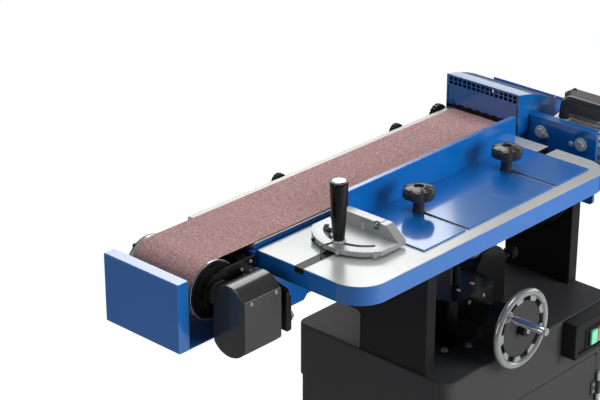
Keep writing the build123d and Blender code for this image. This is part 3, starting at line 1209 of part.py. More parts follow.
with BuildPart() as idler_drum:
    rod("y", IDLER_CENTER, DRUM_R, (IDLER_NEAR, DRUM_Y[1]))
    rod("y", IDLER_CENTER, DRUM_R - IDLER_SHELL, (IDLER_NEAR - 1, IDLER_WEB_Y[0]), Mode.SUBTRACT)
    rod("y", IDLER_CENTER, DRUM_R - IDLER_SHELL, (IDLER_WEB_Y[1], DRUM_Y[1] + 1), Mode.SUBTRACT)
    bore_y = (IDLER_WEB_Y[0] - 1, IDLER_WEB_Y[1] + 1)
    rod("y", IDLER_CENTER, SHAFT_R + PRESS_FIT, bore_y, Mode.SUBTRACT)
save(idler_drum, "idler_drum")

# The worm's thread is drawn as rings
IDLER_SHAFT_Y = (-88.0, 132.0)
IDLER_NUT_R = 16.0
IDLER_NUT = 12.0
with BuildPart() as idler_shaft:
    rod("y", IDLER_CENTER, SHAFT_R, IDLER_SHAFT_Y)
    for ring in range(WORM_RINGS):
        y = WORM_START + WORM_PITCH * ring
        rod("y", IDLER_CENTER, WORM_R, (y, y + WORM_PITCH / 2))
    with BuildSketch(upright(IDLER_SHAFT_Y[1])):
        with Locations(IDLER_CENTER):
            RegularPolygon(IDLER_NUT_R, 6)
    extrude(amount=-IDLER_NUT)
save(idler_shaft, "idler_shaft")

with BuildPart() as worm_wheel:
    wheel_x = (IDLER_X - WORM_WHEEL_HALF, IDLER_X + WORM_WHEEL_HALF)
    with BuildSketch(end_on(wheel_x[0])):
        with Locations(WHEEL_AXIS_YZ):
            Circle(WORM_WHEEL_R - 4)
            with PolarLocations(WORM_WHEEL_R - WORM_TOOTH[0] / 2, WORM_WHEEL_TEETH):
                Rectangle(*WORM_TOOTH)
    extrude(amount=2 * WORM_WHEEL_HALF)
    rod("x", WHEEL_AXIS_YZ, WORM_AXLE_R, (BOX_X[0] + 2, wheel_x[0]))
    rod("x", (yoke_y, yoke_z + CRANK_THROW), CRANK_PIN_R, (wheel_x[1], YOKE_X[1] - 0.5))
save(worm_wheel, "worm_wheel")

with BuildPart() as belt:
    with BuildSketch(upright(0)):
        with Locations(((IDLER_X + DRIVE_X) / 2, DRUM_Z)):
            SlotCenterToCenter(DRUM_PITCH, 2 * BELT_OUT_R)
            SlotCenterToCenter(DRUM_PITCH, 2 * BELT_IN_R, mode=Mode.SUBTRACT)
    extrude(amount=-BELT_WIDTH)
save(belt, "belt")

# Tension lever: crank disc and pin at the strap, shaft through the guide block, hub, arm and round end
LEVER_DISC_R = 16.0
LEVER_DISC_Y = (13.0, 19.0)
LEVER_HUB_R = 14.0
LEVER_HUB_Y = (162.0, 178.0)
LEVER_ARM_HALF = 7.0
LEVER_DROP = 92.0
LEVER_END_R = 11.0
with BuildPart() as tension_lever:
    rod("y", LEVER_XZ, LEVER_R, (LEVER_DISC_Y[1], LEVER_HUB_Y[1] - 4))
    rod("y", LEVER_XZ, LEVER_DISC_R, LEVER_DISC_Y)
    pin_xz = (LEVER_XZ[0] - LEVER_THROW * 0.5, LEVER_XZ[1] + LEVER_THROW * sqrt(0.75))
    rod("y", pin_xz, LEVER_PIN_R, (STRAP_Y[0] - 1, LEVER_DISC_Y[0]))
    rod("y", LEVER_XZ, LEVER_HUB_R, LEVER_HUB_Y)
    arm_x = (LEVER_XZ[0] - LEVER_ARM_HALF, LEVER_XZ[0] + LEVER_ARM_HALF)
    end_z = LEVER_XZ[1] - LEVER_DROP
    block(arm_x, (LEVER_HUB_Y[0] + 3, LEVER_HUB_Y[1] - 3), (end_z, LEVER_XZ[1]))
    rod("y", (LEVER_XZ[0], end_z), LEVER_END_R, (LEVER_HUB_Y[0] + 1, LEVER_HUB_Y[1] - 1))
save(tension_lever, "tension_lever")

# Switch on the cap's front
SWITCH_Y = (FRONT_Y - SWITCH_DEPTH, FRONT_Y)
GLAND_XY = (SWITCH_X[1] - 24, FRONT_Y - SWITCH_DEPTH / 2)
with BuildPart() as switch_box:
    block(SWITCH_X, SWITCH_Y, SWITCH_Z)
    fillet(switch_box.edges().filter_by(Axis.Y), radius=SWITCH_CORNER)
    fillet(switch_box.faces().sort_by(Axis.Y)[0].edges(), radius=SWITCH_EDGE_R)
    inner_x = (SWITCH_X[0] + SWITCH_LIP, SWITCH_X[1] - SWITCH_LIP)
    inner_z = (SWITCH_Z[0] + SWITCH_LIP, SWITCH_Z[1] - SWITCH_LIP)
    recess_y = SWITCH_Y[0] + SWITCH_RECESS
    block(inner_x, (SWITCH_Y[0] - 1, recess_y), inner_z, Mode.SUBTRACT)
    block(inner_x, (recess_y + SWITCH_FACE, FRONT_Y - SWITCH_FACE), inner_z, Mode.SUBTRACT)
    half_w, half_h = BUTTON_W / 2 + BUTTON_GAP, BUTTON_H / 2 + BUTTON_GAP
    for x in BUTTON_X:
        block(
            (x - half_w, x + half_w),
            (SWITCH_Y[0] - 1, recess_y + SWITCH_FACE + 2),
            (BUTTON_Z - half_h, BUTTON_Z + half_h),
            Mode.SUBTRACT,
        )
save(switch_box, "switch_box")

for name, x in zip(("start_button", "stop_button"), BUTTON_X):
    with BuildPart() as button:
        block(
            (x - BUTTON_W / 2, x + BUTTON_W / 2),
            (SWITCH_Y[0] - BUTTON_STAND, SWITCH_Y[0] + BUTTON_DEPTH),
            (BUTTON_Z - BUTTON_H / 2, BUTTON_Z + BUTTON_H / 2),
        )
        fillet(button.edges().filter_by(Axis.Y), radius=2)
        fillet(button.faces().sort_by(Axis.Y)[0].edges(), radius=1.5)
    save(button, name)

with BuildPart() as cable_gland:
    rod("z", GLAND_XY, GLAND_R, (SWITCH_Z[0] - GLAND_DROP, SWITCH_Z[0]))
    with BuildSketch(level(SWITCH_Z[0] - GLAND_HEX)):
        with Locations(GLAND_XY):
            RegularPolygon(GLAND_HEX_R, 6)
    extrude(amount=GLAND_HEX)
    rod("z", GLAND_XY, GLAND_BORE_R, (SWITCH_Z[0] - GLAND_DROP - 1, SWITCH_Z[0] + 1), Mode.SUBTRACT)
save(cable_gland, "cable_gland")
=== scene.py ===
# %% [markdown]
# An oscillating belt sander, dressed for its picture.
# The machine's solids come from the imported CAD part, which is the fixed frame of this scene.
# Blender adds what CAD leaves plain: the finish of every surface, turned and lobed handles,
# fasteners, the cloth of the sanding belt, and the studio around it.

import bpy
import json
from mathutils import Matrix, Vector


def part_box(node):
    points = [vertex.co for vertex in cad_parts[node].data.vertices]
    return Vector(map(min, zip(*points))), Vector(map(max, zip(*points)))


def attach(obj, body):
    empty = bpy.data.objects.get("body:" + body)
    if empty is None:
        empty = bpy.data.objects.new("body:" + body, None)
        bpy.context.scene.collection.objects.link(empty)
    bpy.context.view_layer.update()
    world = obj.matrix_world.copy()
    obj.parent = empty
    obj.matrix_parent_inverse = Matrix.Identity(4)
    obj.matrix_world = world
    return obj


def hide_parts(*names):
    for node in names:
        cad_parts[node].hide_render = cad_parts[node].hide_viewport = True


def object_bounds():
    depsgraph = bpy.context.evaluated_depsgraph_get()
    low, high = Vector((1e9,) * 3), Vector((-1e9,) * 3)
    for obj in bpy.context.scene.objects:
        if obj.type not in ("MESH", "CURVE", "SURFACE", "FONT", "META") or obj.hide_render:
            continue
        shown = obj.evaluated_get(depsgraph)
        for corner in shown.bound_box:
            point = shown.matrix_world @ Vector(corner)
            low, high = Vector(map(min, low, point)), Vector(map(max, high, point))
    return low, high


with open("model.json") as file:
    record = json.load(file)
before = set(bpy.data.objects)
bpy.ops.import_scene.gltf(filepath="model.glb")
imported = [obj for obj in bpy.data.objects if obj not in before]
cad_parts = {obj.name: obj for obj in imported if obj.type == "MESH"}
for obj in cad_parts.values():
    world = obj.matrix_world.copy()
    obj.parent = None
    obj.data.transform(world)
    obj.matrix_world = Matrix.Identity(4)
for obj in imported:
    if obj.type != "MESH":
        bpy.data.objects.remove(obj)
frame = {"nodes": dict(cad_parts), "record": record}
cad_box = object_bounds()
nodes = frame["nodes"]

# %% [markdown]
# Blender measures in metres, in the same frame as the CAD part: X runs along the belt to the motor,
# Y to the back, Z up. Places are read off the boxes of the CAD nodes where a piece has a carrier of
# its own size. Small fittings are easier to place in millimetres from one datum that a fitter would
# use too: the table's left end, the belt's near edge and the belt's working face. Sections and depths
# are millimetres as well, and the helpers below turn them into metres.

# %% Units and places
import json
from math import cos, pi, radians, sin, tau

import bmesh
import bpy
from mathutils import Euler, Matrix, Vector

MM = 0.001
UP, FRONT, BACK = Vector((0, 0, 1)), Vector((0, -1, 0)), Vector((0, 1, 0))
LEFT, RIGHT = Vector((-1, 0, 0)), Vector((1, 0, 0))


class Extent:
    """The box of a CAD node at rest: sides and middle in metres, span in millimetres."""

    def __init__(self, node):
        low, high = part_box(node)
        self.left, self.near, self.bottom = low
        self.right, self.far, self.top = high
        self.middle = (low + high) / 2
        self.span = (high - low) / MM

    def foot(self, direction):
        """The middle of the side that a direction points away from."""
        return self.middle - Vector([d * s / 2 * MM for d, s in zip(direction, self.span)])


table, belt = Extent("table"), Extent("belt")
DATUM = Vector((table.left, belt.near, belt.top))
groups = frame["record"]["behaviour"]["bodies"]
home = {node: body for body, group in groups.items() for node in group}


def at(x, y, z):
    """A place in millimetres from the datum."""
    return DATUM + Vector((x, y, z)) * MM


print("Datum:", [round(value / MM) for value in DATUM], "mm")
print("Table:", [round(side) for side in table.span], "mm")

# %% [markdown]
# A shader is a small calculation, and it reads best as one. Wire wraps a node's output socket and
# overloads Python's operators: every sum or product adds the Math node that works it out.
# The reflected forms let a plain number stand first, as in 1 - mask. Two more methods have no sign
# in Python: the dot product of two vectors, and the bearing, which is the angle of two sides.

# %% Shader sockets in formulas


def plug(entry, value):
    """Link a Wire to a node's entry, or write a plain value there."""
    if isinstance(value, Wire):
        entry.id_data.links.new(value.socket, entry)
    else:
        entry.default_value = value


def operator(operation, reflected=False):
    """A method that adds the node of one operation, with its terms swapped in the reflected form."""

    def method(self, *others):
        terms = (self, *others)
        return self.work(operation, *(terms[::-1] if reflected else terms))

    return method


class Wire:
    """An output socket. Values go through Math nodes and vectors through Vector Math nodes."""

    def __init__(self, socket):
        self.socket = socket

    def work(self, operation, *terms):
        vector = self.socket.type == "VECTOR"
        node = self.socket.id_data.nodes.new("ShaderNodeVectorMath" if vector else "ShaderNodeMath")
        node.operation = operation
        for entry, term in zip(node.inputs, terms):
            plug(entry, term)
        return Wire(node.outputs["Value" if operation == "DOT_PRODUCT" or not vector else "Vector"])

    __add__, __radd__ = operator("ADD"), operator("ADD", reflected=True)
    __sub__, __rsub__ = operator("SUBTRACT"), operator("SUBTRACT", reflected=True)
    __mul__, __rmul__ = operator("MULTIPLY"), operator("MULTIPLY", reflected=True)
    __truediv__, __rtruediv__ = operator("DIVIDE"), operator("DIVIDE", reflected=True)
    __mod__, __pow__, __abs__ = operator("FLOORED_MODULO"), operator("POWER"), operator("ABSOLUTE")
    __gt__, __lt__ = operator("GREATER_THAN"), operator("LESS_THAN")
    dot, bearing = operator("DOT_PRODUCT"), operator("ARCTAN2")


print("Formulas ready")

# %% [markdown]
# A finish is one material. Its node method adds any node by type, writes the settings first and then
# fills the sockets. The helpers after it are the few textures that every finish of this machine
# shares: noise in the object's own space, a soft step, a colour mix, rounded edges and a bump.
# Finishes are kept by name, so that a piece can ask for one as a maker asks for a tin of paint.

# %% The finish builder
BEVEL_SAMPLES = 6
EDGE_START, EDGE_FULL = 0.01, 0.25
finishes = {}


def screen(red, green, blue):
    """A colour as 0 to 255 screen levels, in the linear values that shaders use."""
    shares = [level / 255 for level in (red, green, blue)]
    return (*[s / 12.92 if s <= 0.04045 else ((s + 0.055) / 1.055) ** 2.4 for s in shares], 1.0)


class Finish:
    """A material that is built node by node and kept by its name."""

    def __init__(self, name):
        self.material = finishes[name] = bpy.data.materials.new(name)
        self.material.use_nodes = True
        self.tree = self.material.node_tree
        self.shader = self.tree.nodes["Principled BSDF"]
        self.place = self.node("ShaderNodeTexCoord", output="Object")

    def node(self, kind, settings=None, entries=None, output=0):
        made = self.tree.nodes.new(kind)
        for name, value in (settings or {}).items():
            setattr(made, name, value)
        for name, value in (entries or {}).items():
            plug(made.inputs[name], value)
        return Wire(made.outputs[output])

    def noise(self, per_metre, detail=2.0, stretch=(1, 1, 1)):
        entries = {"Vector": self.place * stretch, "Scale": per_metre, "Detail": detail}
        return self.node("ShaderNodeTexNoise", None, entries)

    def axis(self, letter):
        return self.node("ShaderNodeSeparateXYZ", None, {"Vector": self.place}, letter)

    def facing(self, letter):
        normal = self.node("ShaderNodeTexCoord", output="Normal")
        return self.node("ShaderNodeSeparateXYZ", None, {"Vector": normal}, letter)

    def ramp(self, value, low, high):
        """0 below low, 1 above high and a smooth rise between them."""
        entries = {"Value": value, "From Min": low, "From Max": high}
        return self.node("ShaderNodeMapRange", {"interpolation_type": "SMOOTHSTEP"}, entries)

    def mix(self, share, first, second):
        return self.node("ShaderNodeMix", {"data_type": "RGBA"}, {0: share, 6: first, 7: second}, 2)

    def edges(self, radius):
        """The normal with its edges rounded off by millimetres, and a mask that is 1 along them."""
        rounded = self.node("ShaderNodeBevel", {"samples": BEVEL_SAMPLES}, {"Radius": radius * MM})
        plain = self.node("ShaderNodeNewGeometry", output="Normal")
        return rounded, self.ramp(1 - rounded.dot(plain), EDGE_START, EDGE_FULL)

    def bump(self, height, depth, normal):
        """A normal that follows a height, whose full depth is in millimetres."""
        entries = {"Height": height, "Distance": depth * MM, "Strength": 1.0, "Normal": normal}
        return self.node("ShaderNodeBump", None, entries)

    def shade(self, entries):
        for name, value in entries.items():
            plug(self.shader.inputs[name], value)


print("Finish builder ready")

# %% [markdown]
# The sheet metal and castings are stoved paint: dark grey on the cabinet, satin black on the brackets,
# gloss blue on the guards, fence and table rim. Sprayed paint is never flat: it dries to a fine
# orange peel, clouds a little over large panels, and is rubbed thin along edges. The edges are mixed
# towards a lighter colour, which is partly that wear and partly a painted highlight.
# One function makes all of them, with the gloss and the depth of the peel as its arguments.

# %% Stoved paint
PEEL_GRAIN = 420
COAT = {"Coat Roughness": 0.1, "Coat IOR": 1.8}


def toned(colour, share, lift=0.0):
    """A lighter or darker shade of a colour."""
    return (*[min(1.0, share * level + lift) for level in colour[:3]], 1.0)


def stoved_paint(name, colour, wear_and_highlight, roughness, peel, gloss, coat=0.0):
    """Sprayed and baked paint: colour, edge colour for wear and painted highlight, roughness, peel
    depth, gloss and coat.
    """
    finish = Finish(name)
    rounded, edge = finish.edges(1.3)
    ripple = finish.noise(PEEL_GRAIN, 1.0)
    cloud = finish.noise(7, 3.0)
    scuff = finish.ramp(finish.noise(55, 4.0, (1, 1, 3)), 0.62, 0.8)
    body = finish.mix(cloud, toned(colour, 0.86), colour)
    # Edges and scuffs are mixed towards the lighter edge colour: wear, and along the edges also a
    # painted highlight.
    finish.shade({
        "Base Color": finish.mix(0.5 * edge + 0.08 * scuff, body, wear_and_highlight),
        "Roughness": roughness + 0.1 * cloud + 0.1 * scuff - 0.05,
        "Normal": finish.bump(ripple, peel, rounded),
        "Specular IOR Level": gloss,
        "Coat Weight": coat,
        **COAT,
    })


# The lighter blue of the edges is partly wear and partly a painted highlight.
BLUE, BLUE_WEAR_AND_HIGHLIGHT = screen(10, 102, 182), screen(104, 164, 220)
# Colour, edge colour for wear and painted highlight, roughness, peel in mm, gloss, and a clear coat
# where there is one
PAINTS = {
    "grey_paint": (screen(66, 66, 67), screen(104, 104, 105), 0.5, 0.1, 0.15),
    "black_paint": (screen(36, 36, 37), screen(88, 88, 90), 0.42, 0.05, 0.15),
    # A darker copy of the black paint: painted shade for parts that sit in shade under the table and by
    # the idler.
    "shaded_black_paint": (screen(20, 20, 21), screen(60, 60, 62), 0.3, 0.03, 0.2, 0.2),
    "gloss_black": (screen(50, 50, 51), screen(100, 100, 102), 0.25, 0.02, 0.3, 0.5),
    "blue_paint": (BLUE, BLUE_WEAR_AND_HIGHLIGHT, 0.3, 0.02, 0.3, 1.0),
    "wheel_grey": (screen(62, 62, 63), screen(120, 120, 121), 0.45, 0.1, 0.2),
}
for name, recipe in PAINTS.items():
    stoved_paint(name, *recipe)
print("Paints:", ", ".join(PAINTS))

# %% [markdown]
# Bare metal shows how it was made. Drawn and turned steel has short streaks, a casting is grainy,
# polished metal and chrome are almost mirrors with a few wipe marks, and black oxide is steel that
# was blued in a salt bath. Each is the same metal shader with another grain.

# %% Bare metals
SILVER, STEEL_STAIN = screen(214, 216, 218), screen(150, 152, 155)
EVEN, DRAWN, CROSSWISE = (1, 1, 1), (1, 6, 6), (5, 1, 1)


def bare_metal(name, colour, stain, mirror, roughness, spread, grain, stretch, depth):
    """Metal with a grain that changes its colour, its roughness and its surface."""
    finish = Finish(name)
    rounded, edge = finish.edges(0.8)
    lines = finish.noise(grain, 3.0, stretch)
    dull = finish.ramp(finish.noise(16, 4.0), 0.45, 0.8)
    body = finish.mix(0.35 * dull + 0.25 * lines, colour, stain)
    # Edges are mixed to a lighter colour: partly wear, partly a painted highlight.
    finish.shade({
        "Base Color": finish.mix(0.4 * edge, body, toned(colour, 1.3)),
        "Metallic": mirror,
        "Roughness": roughness + spread * (lines - 0.5) + 0.08 * dull,
        "Normal": finish.bump(lines, depth, rounded),
    })


# Colour, stain, share of mirror, roughness, spread, grain per metre, its stretch and depth in mm
METALS = {
    "bright_steel": (SILVER, STEEL_STAIN, 0.6, 0.28, 0.2, 300, DRAWN, 0.02),
    "chrome": (screen(232, 233, 234), SILVER, 0.9, 0.07, 0.06, 80, EVEN, 0.004),
    "polished": (screen(196, 197, 198), screen(160, 161, 162), 0.75, 0.2, 0.1, 400, EVEN, 0.01),
    "alloy": (screen(206, 207, 208), screen(170, 172, 174), 0.4, 0.42, 0.2, 700, EVEN, 0.07),
    "bronze": (screen(186, 146, 84), screen(120, 88, 48), 0.8, 0.35, 0.2, 200, CROSSWISE, 0.02),
    "oxide": (screen(58, 58, 60), screen(34, 34, 36), 0.8, 0.36, 0.2, 300, DRAWN, 0.02),
}
for name, recipe in METALS.items():
    bare_metal(name, *recipe)
print("Metals:", ", ".join(METALS))

# %% [markdown]
# The belt is cloth coated with brown corundum. Seen close it is a bed of sharp grains, each with its
# own tint, some darker, and some glinting, where the glint is painted in as a pale colour. Voronoi
# cells give every grain its own random colour, and the distance from a cell's middle makes it stand
# up. Slow noise leaves the streaks of a coating line.

# %% Abrasive cloth
GRAIN_SIZE = 1.5


def abrasive():
    """Resin-bonded grains on cloth, as random cells of the size of a grain."""
    finish = Finish("abrasive_cloth")
    entries = {"Vector": finish.place, "Scale": 1 / (GRAIN_SIZE * MM)}
    tone = finish.node("ShaderNodeTexVoronoi", None, entries, "Color")
    tone = finish.node("ShaderNodeSeparateColor", None, {"Color": tone}, "Red")
    height = 1 - finish.node("ShaderNodeTexVoronoi", None, entries, "Distance")
    coarse = finish.noise(150, 5.0)
    streak = finish.noise(20, 3.0, (0.3, 2.5, 1))
    body = finish.mix(0.6 * tone + 0.4 * coarse, screen(122, 86, 87), screen(226, 184, 182))
    body = finish.mix(0.3 * streak, body, screen(172, 132, 131))
    # A few random grains are mixed darker.
    dark_grain = finish.ramp(tone, 0.1, 0.02)
    # Glints are painted in as a pale colour on a few grains, which are also made smoother.
    glint = finish.ramp(tone, 0.95, 0.98)
    body = finish.mix(0.6 * dark_grain, body, screen(78, 52, 52))
    finish.shade({
        "Base Color": finish.mix(0.5 * glint, body, screen(232, 214, 210)),
        "Roughness": 0.85 - 0.3 * glint,
        "Normal": finish.bump(0.6 * height + coarse, 0.5, finish.edges(0.3)[0]),
        "Specular IOR Level": 0.25,
    })


abrasive()
print("Cloth with grains of", GRAIN_SIZE, "mm")

# %% [markdown]
# Between the belt and the platen lies a pad of graphite-coated canvas, which lets the cloth back
# slide. A fine checker stands for the weave, and long smears show where the belt has polished it.

# %% Graphite cloth
THREADS_PER_METRE = 900.0


def graphite():
    """Graphite-coated canvas: a crossing weave under dark grey slip."""
    finish = Finish("graphite_cloth")
    entries = {"Vector": finish.place, "Scale": THREADS_PER_METRE}
    thread = finish.node("ShaderNodeTexChecker", None, entries, "Fac")
    smear = finish.noise(40, 4.0, (0.2, 1, 1))
    finish.shade({
        "Base Color": finish.mix(smear, screen(34, 34, 36), screen(66, 66, 69)),
        "Roughness": 0.4 + 0.25 * smear,
        "Normal": finish.bump(thread, 0.1, finish.edges(0.3)[0]),
    })


graphite()
print("Pad with", THREADS_PER_METRE, "threads in a metre")

# %% [markdown]
# Knobs, the switch and the terminal box are moulded. Black phenolic is polished, so the handles
# gleam; the star knobs and the bridge handle are slate grey with a soft gleam; the switch box is
# satin with the fine grain of a spark-eroded mould.
# The same recipe gives the green and red of the two buttons.

# %% Moulded plastics


def moulded(name, colour, roughness, grain, gloss=0.5):
    """Moulded plastic: fine mould grain, a slight bloom, and edges a little lighter, partly wear and
    partly a painted highlight.
    """
    finish = Finish(name)
    rounded, edge = finish.edges(1.0)
    pores = finish.noise(1500, 2.0)
    bloom = finish.noise(24, 4.0)
    pale = toned(colour, 1.25, 0.012)
    finish.shade({
        "Base Color": finish.mix(0.35 * bloom + 0.4 * edge, colour, pale),
        "Roughness": roughness + 0.14 * (bloom - 0.5) + 0.05 * edge,
        "Normal": finish.bump(pores, grain, rounded),
        "Specular IOR Level": gloss,
    })


# Colour, roughness, mould grain in mm, and gloss where it isn't the usual one
PLASTICS = {
    "black_plastic": (screen(28, 28, 29), 0.45, 0.05, 0.25),
    "grey_plastic": (screen(82, 82, 83), 0.5, 0.06, 0.3),
    "slate_plastic": (screen(44, 44, 46), 0.22, 0.02, 0.6),
    "black_gloss": (screen(10, 10, 11), 0.14, 0.008),
    "rubber": (screen(14, 14, 14), 0.75, 0.1, 0.2),
    "green_plastic": (screen(112, 214, 170), 0.3, 0.01),
    "red_plastic": (screen(210, 104, 104), 0.3, 0.01),
}
for name, recipe in PLASTICS.items():
    moulded(name, *recipe)
print("Plastics:", ", ".join(PLASTICS))

# %% [markdown]
# The record gives every CAD node a slot, such as blue_paint. The finish of that name goes on the
# node's own material slots; its mesh is left as it is. Two slots use a metal that is there already.
# A few nodes differ from their slot: the clamp nuts are blued, the gearbox and its lid are glossier
# than the other brackets, the idler's carrier and the lift's case get a darker black that is painted
# shade, for the shade under the table and round the idler, the motor's bolts are dull, and the
# terminal box is grey.

# %% Dress the CAD nodes
finishes["machined_iron"] = finishes["bright_steel"]
finishes["cast_aluminium"] = finishes["alloy"]
SPECIAL = {
    "clamp_nuts": "oxide",
    "gearbox_housing": "gloss_black",
    "gearbox_plate": "gloss_black",
    "idler_carrier": "shaded_black_paint",
    "lift_housing": "shaded_black_paint",
    "lift_cover": "shaded_black_paint",
    "terminal_box": "grey_plastic",
    "motor_bolts": "alloy",
}


def dress(node, finish):
    """Give a CAD node a finish by its name."""
    mesh = nodes[node].data
    if not mesh.materials:
        mesh.materials.append(finishes[finish])
    for slot in nodes[node].material_slots:
        slot.material = finishes[finish]


for entry in frame["record"]["subparts"]:
    dress(entry["node"], SPECIAL.get(entry["node"], entry["material_slot"]))

# %% [markdown]
# The table is one iron casting with three finishes: the top is surface-ground to a soft mirror, the
# groove for the mitre bar is bare iron coloured dark as painted shade, and the rim is painted blue.
# Splitting the mesh would be one way, but the CAD mesh stays untouched, so the finish itself decides.
# What faces up at the height of the top is ground, what lies in the groove is bare iron with painted
# shade, and the rest is paint.

# %% The table's three finishes
groove = Extent("mitre_bar")
TOP_DEPTH = 1.2
GROOVE_PLAY = 1
GROOVE_DEPTH = 2
FACES_UP = 0.6


def ground_table():
    """Ground iron where the casting faces up at its top, dark bare iron as painted shade in the groove,
    paint elsewhere.
    """
    finish = Finish("ground_table")
    rounded, edge = finish.edges(1.6)
    high = finish.axis("Z") > table.top - TOP_DEPTH * MM
    ground = (finish.facing("Z") > FACES_UP) * high
    inside = abs(finish.axis("Y") - groove.middle.y) < (groove.span.y / 2 + GROOVE_PLAY) * MM
    shaded_bare_groove = inside * (finish.axis("Z") > groove.bottom - GROOVE_DEPTH * MM) * (1 - ground)
    lines = finish.noise(36, 4.0, (1, 40, 1))
    haze = finish.noise(5, 4.0)
    ripple = finish.noise(PEEL_GRAIN, 1.0)
    top = finish.mix(0.4 * lines + 0.2 * haze, screen(199, 200, 200), screen(180, 181, 181))
    # Edges of the rim are mixed to the lighter blue: wear and a painted highlight.
    paint = finish.mix(0.5 * edge, BLUE, BLUE_WEAR_AND_HIGHLIGHT)
    # The groove is mixed to a dark iron colour: bare iron with painted shade in the groove.
    side = finish.mix(shaded_bare_groove, paint, screen(40, 41, 44))
    gloss = 0.16 + 0.1 * lines + 0.06 * haze
    finish.shade({
        "Base Color": finish.mix(ground, side, top),
        "Metallic": 0.24 * ground + 0.6 * shaded_bare_groove,
        "Roughness": gloss * ground + (1 - ground) * (0.26 + 0.06 * ripple + 0.2 * shaded_bare_groove),
        "Normal": finish.bump(lines * ground + ripple * (1 - ground), 0.02, rounded),
        "Coat Weight": (1 - ground) * (1 - shaded_bare_groove),
        "Specular IOR Level": 0.4,
        **COAT,
    })


ground_table()
dress("table", "ground_table")
print("Table top at", round(table.top / MM, 1), "mm")

# %% [markdown]
# The platen is a long steel bar under the belt. Its upper side is ground pale, and the blue of the head
# was sprayed up its front edge, in a darker shade that paints in the dark reflection on that face.
# Again the direction that a face looks in decides.

# %% The platen's two finishes
FACES_FRONT = -0.6


def ground_platen():
    """Ground steel with paint on its front edge."""
    finish = Finish("ground_platen")
    rounded, edge = finish.edges(0.8)
    painted = finish.facing("Y") < FACES_FRONT
    lines = finish.noise(60, 3.0, (1, 30, 30))
    steel = finish.mix(lines, screen(204, 203, 200), screen(182, 182, 180))
    # Edges of the steel are mixed lighter: wear and a painted highlight.
    steel = finish.mix(0.5 * edge, steel, screen(222, 222, 220))
    finish.shade({
        # The front face takes a darker blue: paint, darkened as a painted reflection.
        "Base Color": finish.mix(painted, steel, toned(BLUE, 0.6)),
        "Metallic": 0.7 * (1 - painted),
        "Roughness": 0.4 + 0.15 * lines - 0.12 * painted,
        "Normal": finish.bump(lines, 0.02, rounded),
    })


ground_platen()
dress("platen", "ground_platen")
print("Platen:", [round(side) for side in Extent("platen").span], "mm")

# %% [markdown]
# The mitre bar is blued where it runs in the groove, and its pivot pin above the table is bare.
# The height of a point decides which of the two it is.

# %% The mitre bar's two finishes


def blued_bar():
    """Blued steel below the table's top, bare metal above it."""
    finish = Finish("blued_bar")
    rounded, edge = finish.edges(0.8)
    lines = finish.noise(300, 3.0, DRAWN)
    bare = finish.axis("Z") > table.top
    # Grain and edges are mixed lighter; along the edges that is wear and a painted highlight.
    blued = finish.mix(0.5 * edge + 0.3 * lines, screen(48, 48, 50), screen(84, 84, 86))
    finish.shade({
        "Base Color": finish.mix(bare, blued, screen(226, 227, 228)),
        "Metallic": 0.9 - 0.45 * bare,
        "Roughness": 0.34 + 0.12 * lines,
        "Normal": finish.bump(lines, 0.02, rounded),
    })


blued_bar()
dress("mitre_bar", "blued_bar")
print("Bar:", [round(side) for side in groove.span], "mm with its pin")

# %% [markdown]
# The mitre head is die-cast aluminium with a milled scale: a line every five degrees round the edge
# of its half-moon. The angle about the pivot is worked out in the shader, and a saw-tooth of that
# angle leaves thin dark lines where the milled rim faces up.

# %% The mitre head's scale
mitre = Extent("mitre_head")
MITRE_RADIUS = 95
MITRE_BASE = 9
MITRE_FOOT = 4.6
SCALE_INNER, SCALE_OUTER = 88, 93.5
SCALE_STEP = 5
SCALE_LINE = 0.07
RIM_FACES_UP = 0.8
mitre_pivot = Vector((mitre.left + MITRE_RADIUS * MM, groove.middle.y, mitre.bottom))
mitre_base_top = mitre.bottom + (MITRE_FOOT + MITRE_BASE) * MM


def scaled_casting():
    """Blasted aluminium with degree lines between two radii about the mitre's pivot."""
    finish = Finish("mitre_casting")
    rounded, edge = finish.edges(1.0)
    grain = finish.noise(600, 3.0)
    haze = finish.noise(18, 4.0)
    along = finish.axis("X") - mitre_pivot.x
    across = finish.axis("Y") - mitre_pivot.y
    reach = (along * along + across * across) ** 0.5
    degrees = across.bearing(along) * (180 / pi)
    line = abs(degrees / SCALE_STEP % 1 - 0.5) < SCALE_LINE
    rim = (reach > SCALE_INNER * MM) * (reach < SCALE_OUTER * MM) * (finish.facing("Z") > RIM_FACES_UP)
    mark = line * rim * (finish.axis("Z") < mitre_base_top + 0.5 * MM)
    body = finish.mix(0.5 * haze + 0.2 * grain, screen(196, 197, 198), screen(174, 175, 176))
    # Edges are mixed nearly white: wear and a painted highlight.
    body = finish.mix(0.5 * edge, body, screen(240, 240, 240))
    finish.shade({
        "Base Color": finish.mix(0.75 * mark, body, screen(70, 72, 75)),
        "Metallic": 0.6,
        "Roughness": 0.36 + 0.2 * (grain - 0.5) + 0.1 * haze,
        "Normal": finish.bump(grain, 0.05, rounded),
    })


scaled_casting()
dress("mitre_head", "mitre_casting")
print("Mitre pivot:", [round(value / MM, 1) for value in mitre_pivot])

# %% [markdown]
# Most of the small pieces are turned: bolts, knobs, handles, the wheel. A lathe needs only the half
# section, as pairs of radius and height. A third entry may bend a ring out of round, so that the
# same lathe cuts hexagons, lobes and flutes: it is a function of the angle that scales the radius.
# Skin joins the rings that this leaves, and serves every other way of making a mesh as well.

# %% The lathe


def standing(point, direction):
    """A place whose own Z axis points along a direction."""
    turn_to = Vector(direction).to_track_quat("Z", "Y").to_matrix().to_4x4()
    return Matrix.Translation(Vector(point)) @ turn_to


def hexagon(angle):
    return cos(pi / 6) / cos(angle % (pi / 3) - pi / 6)


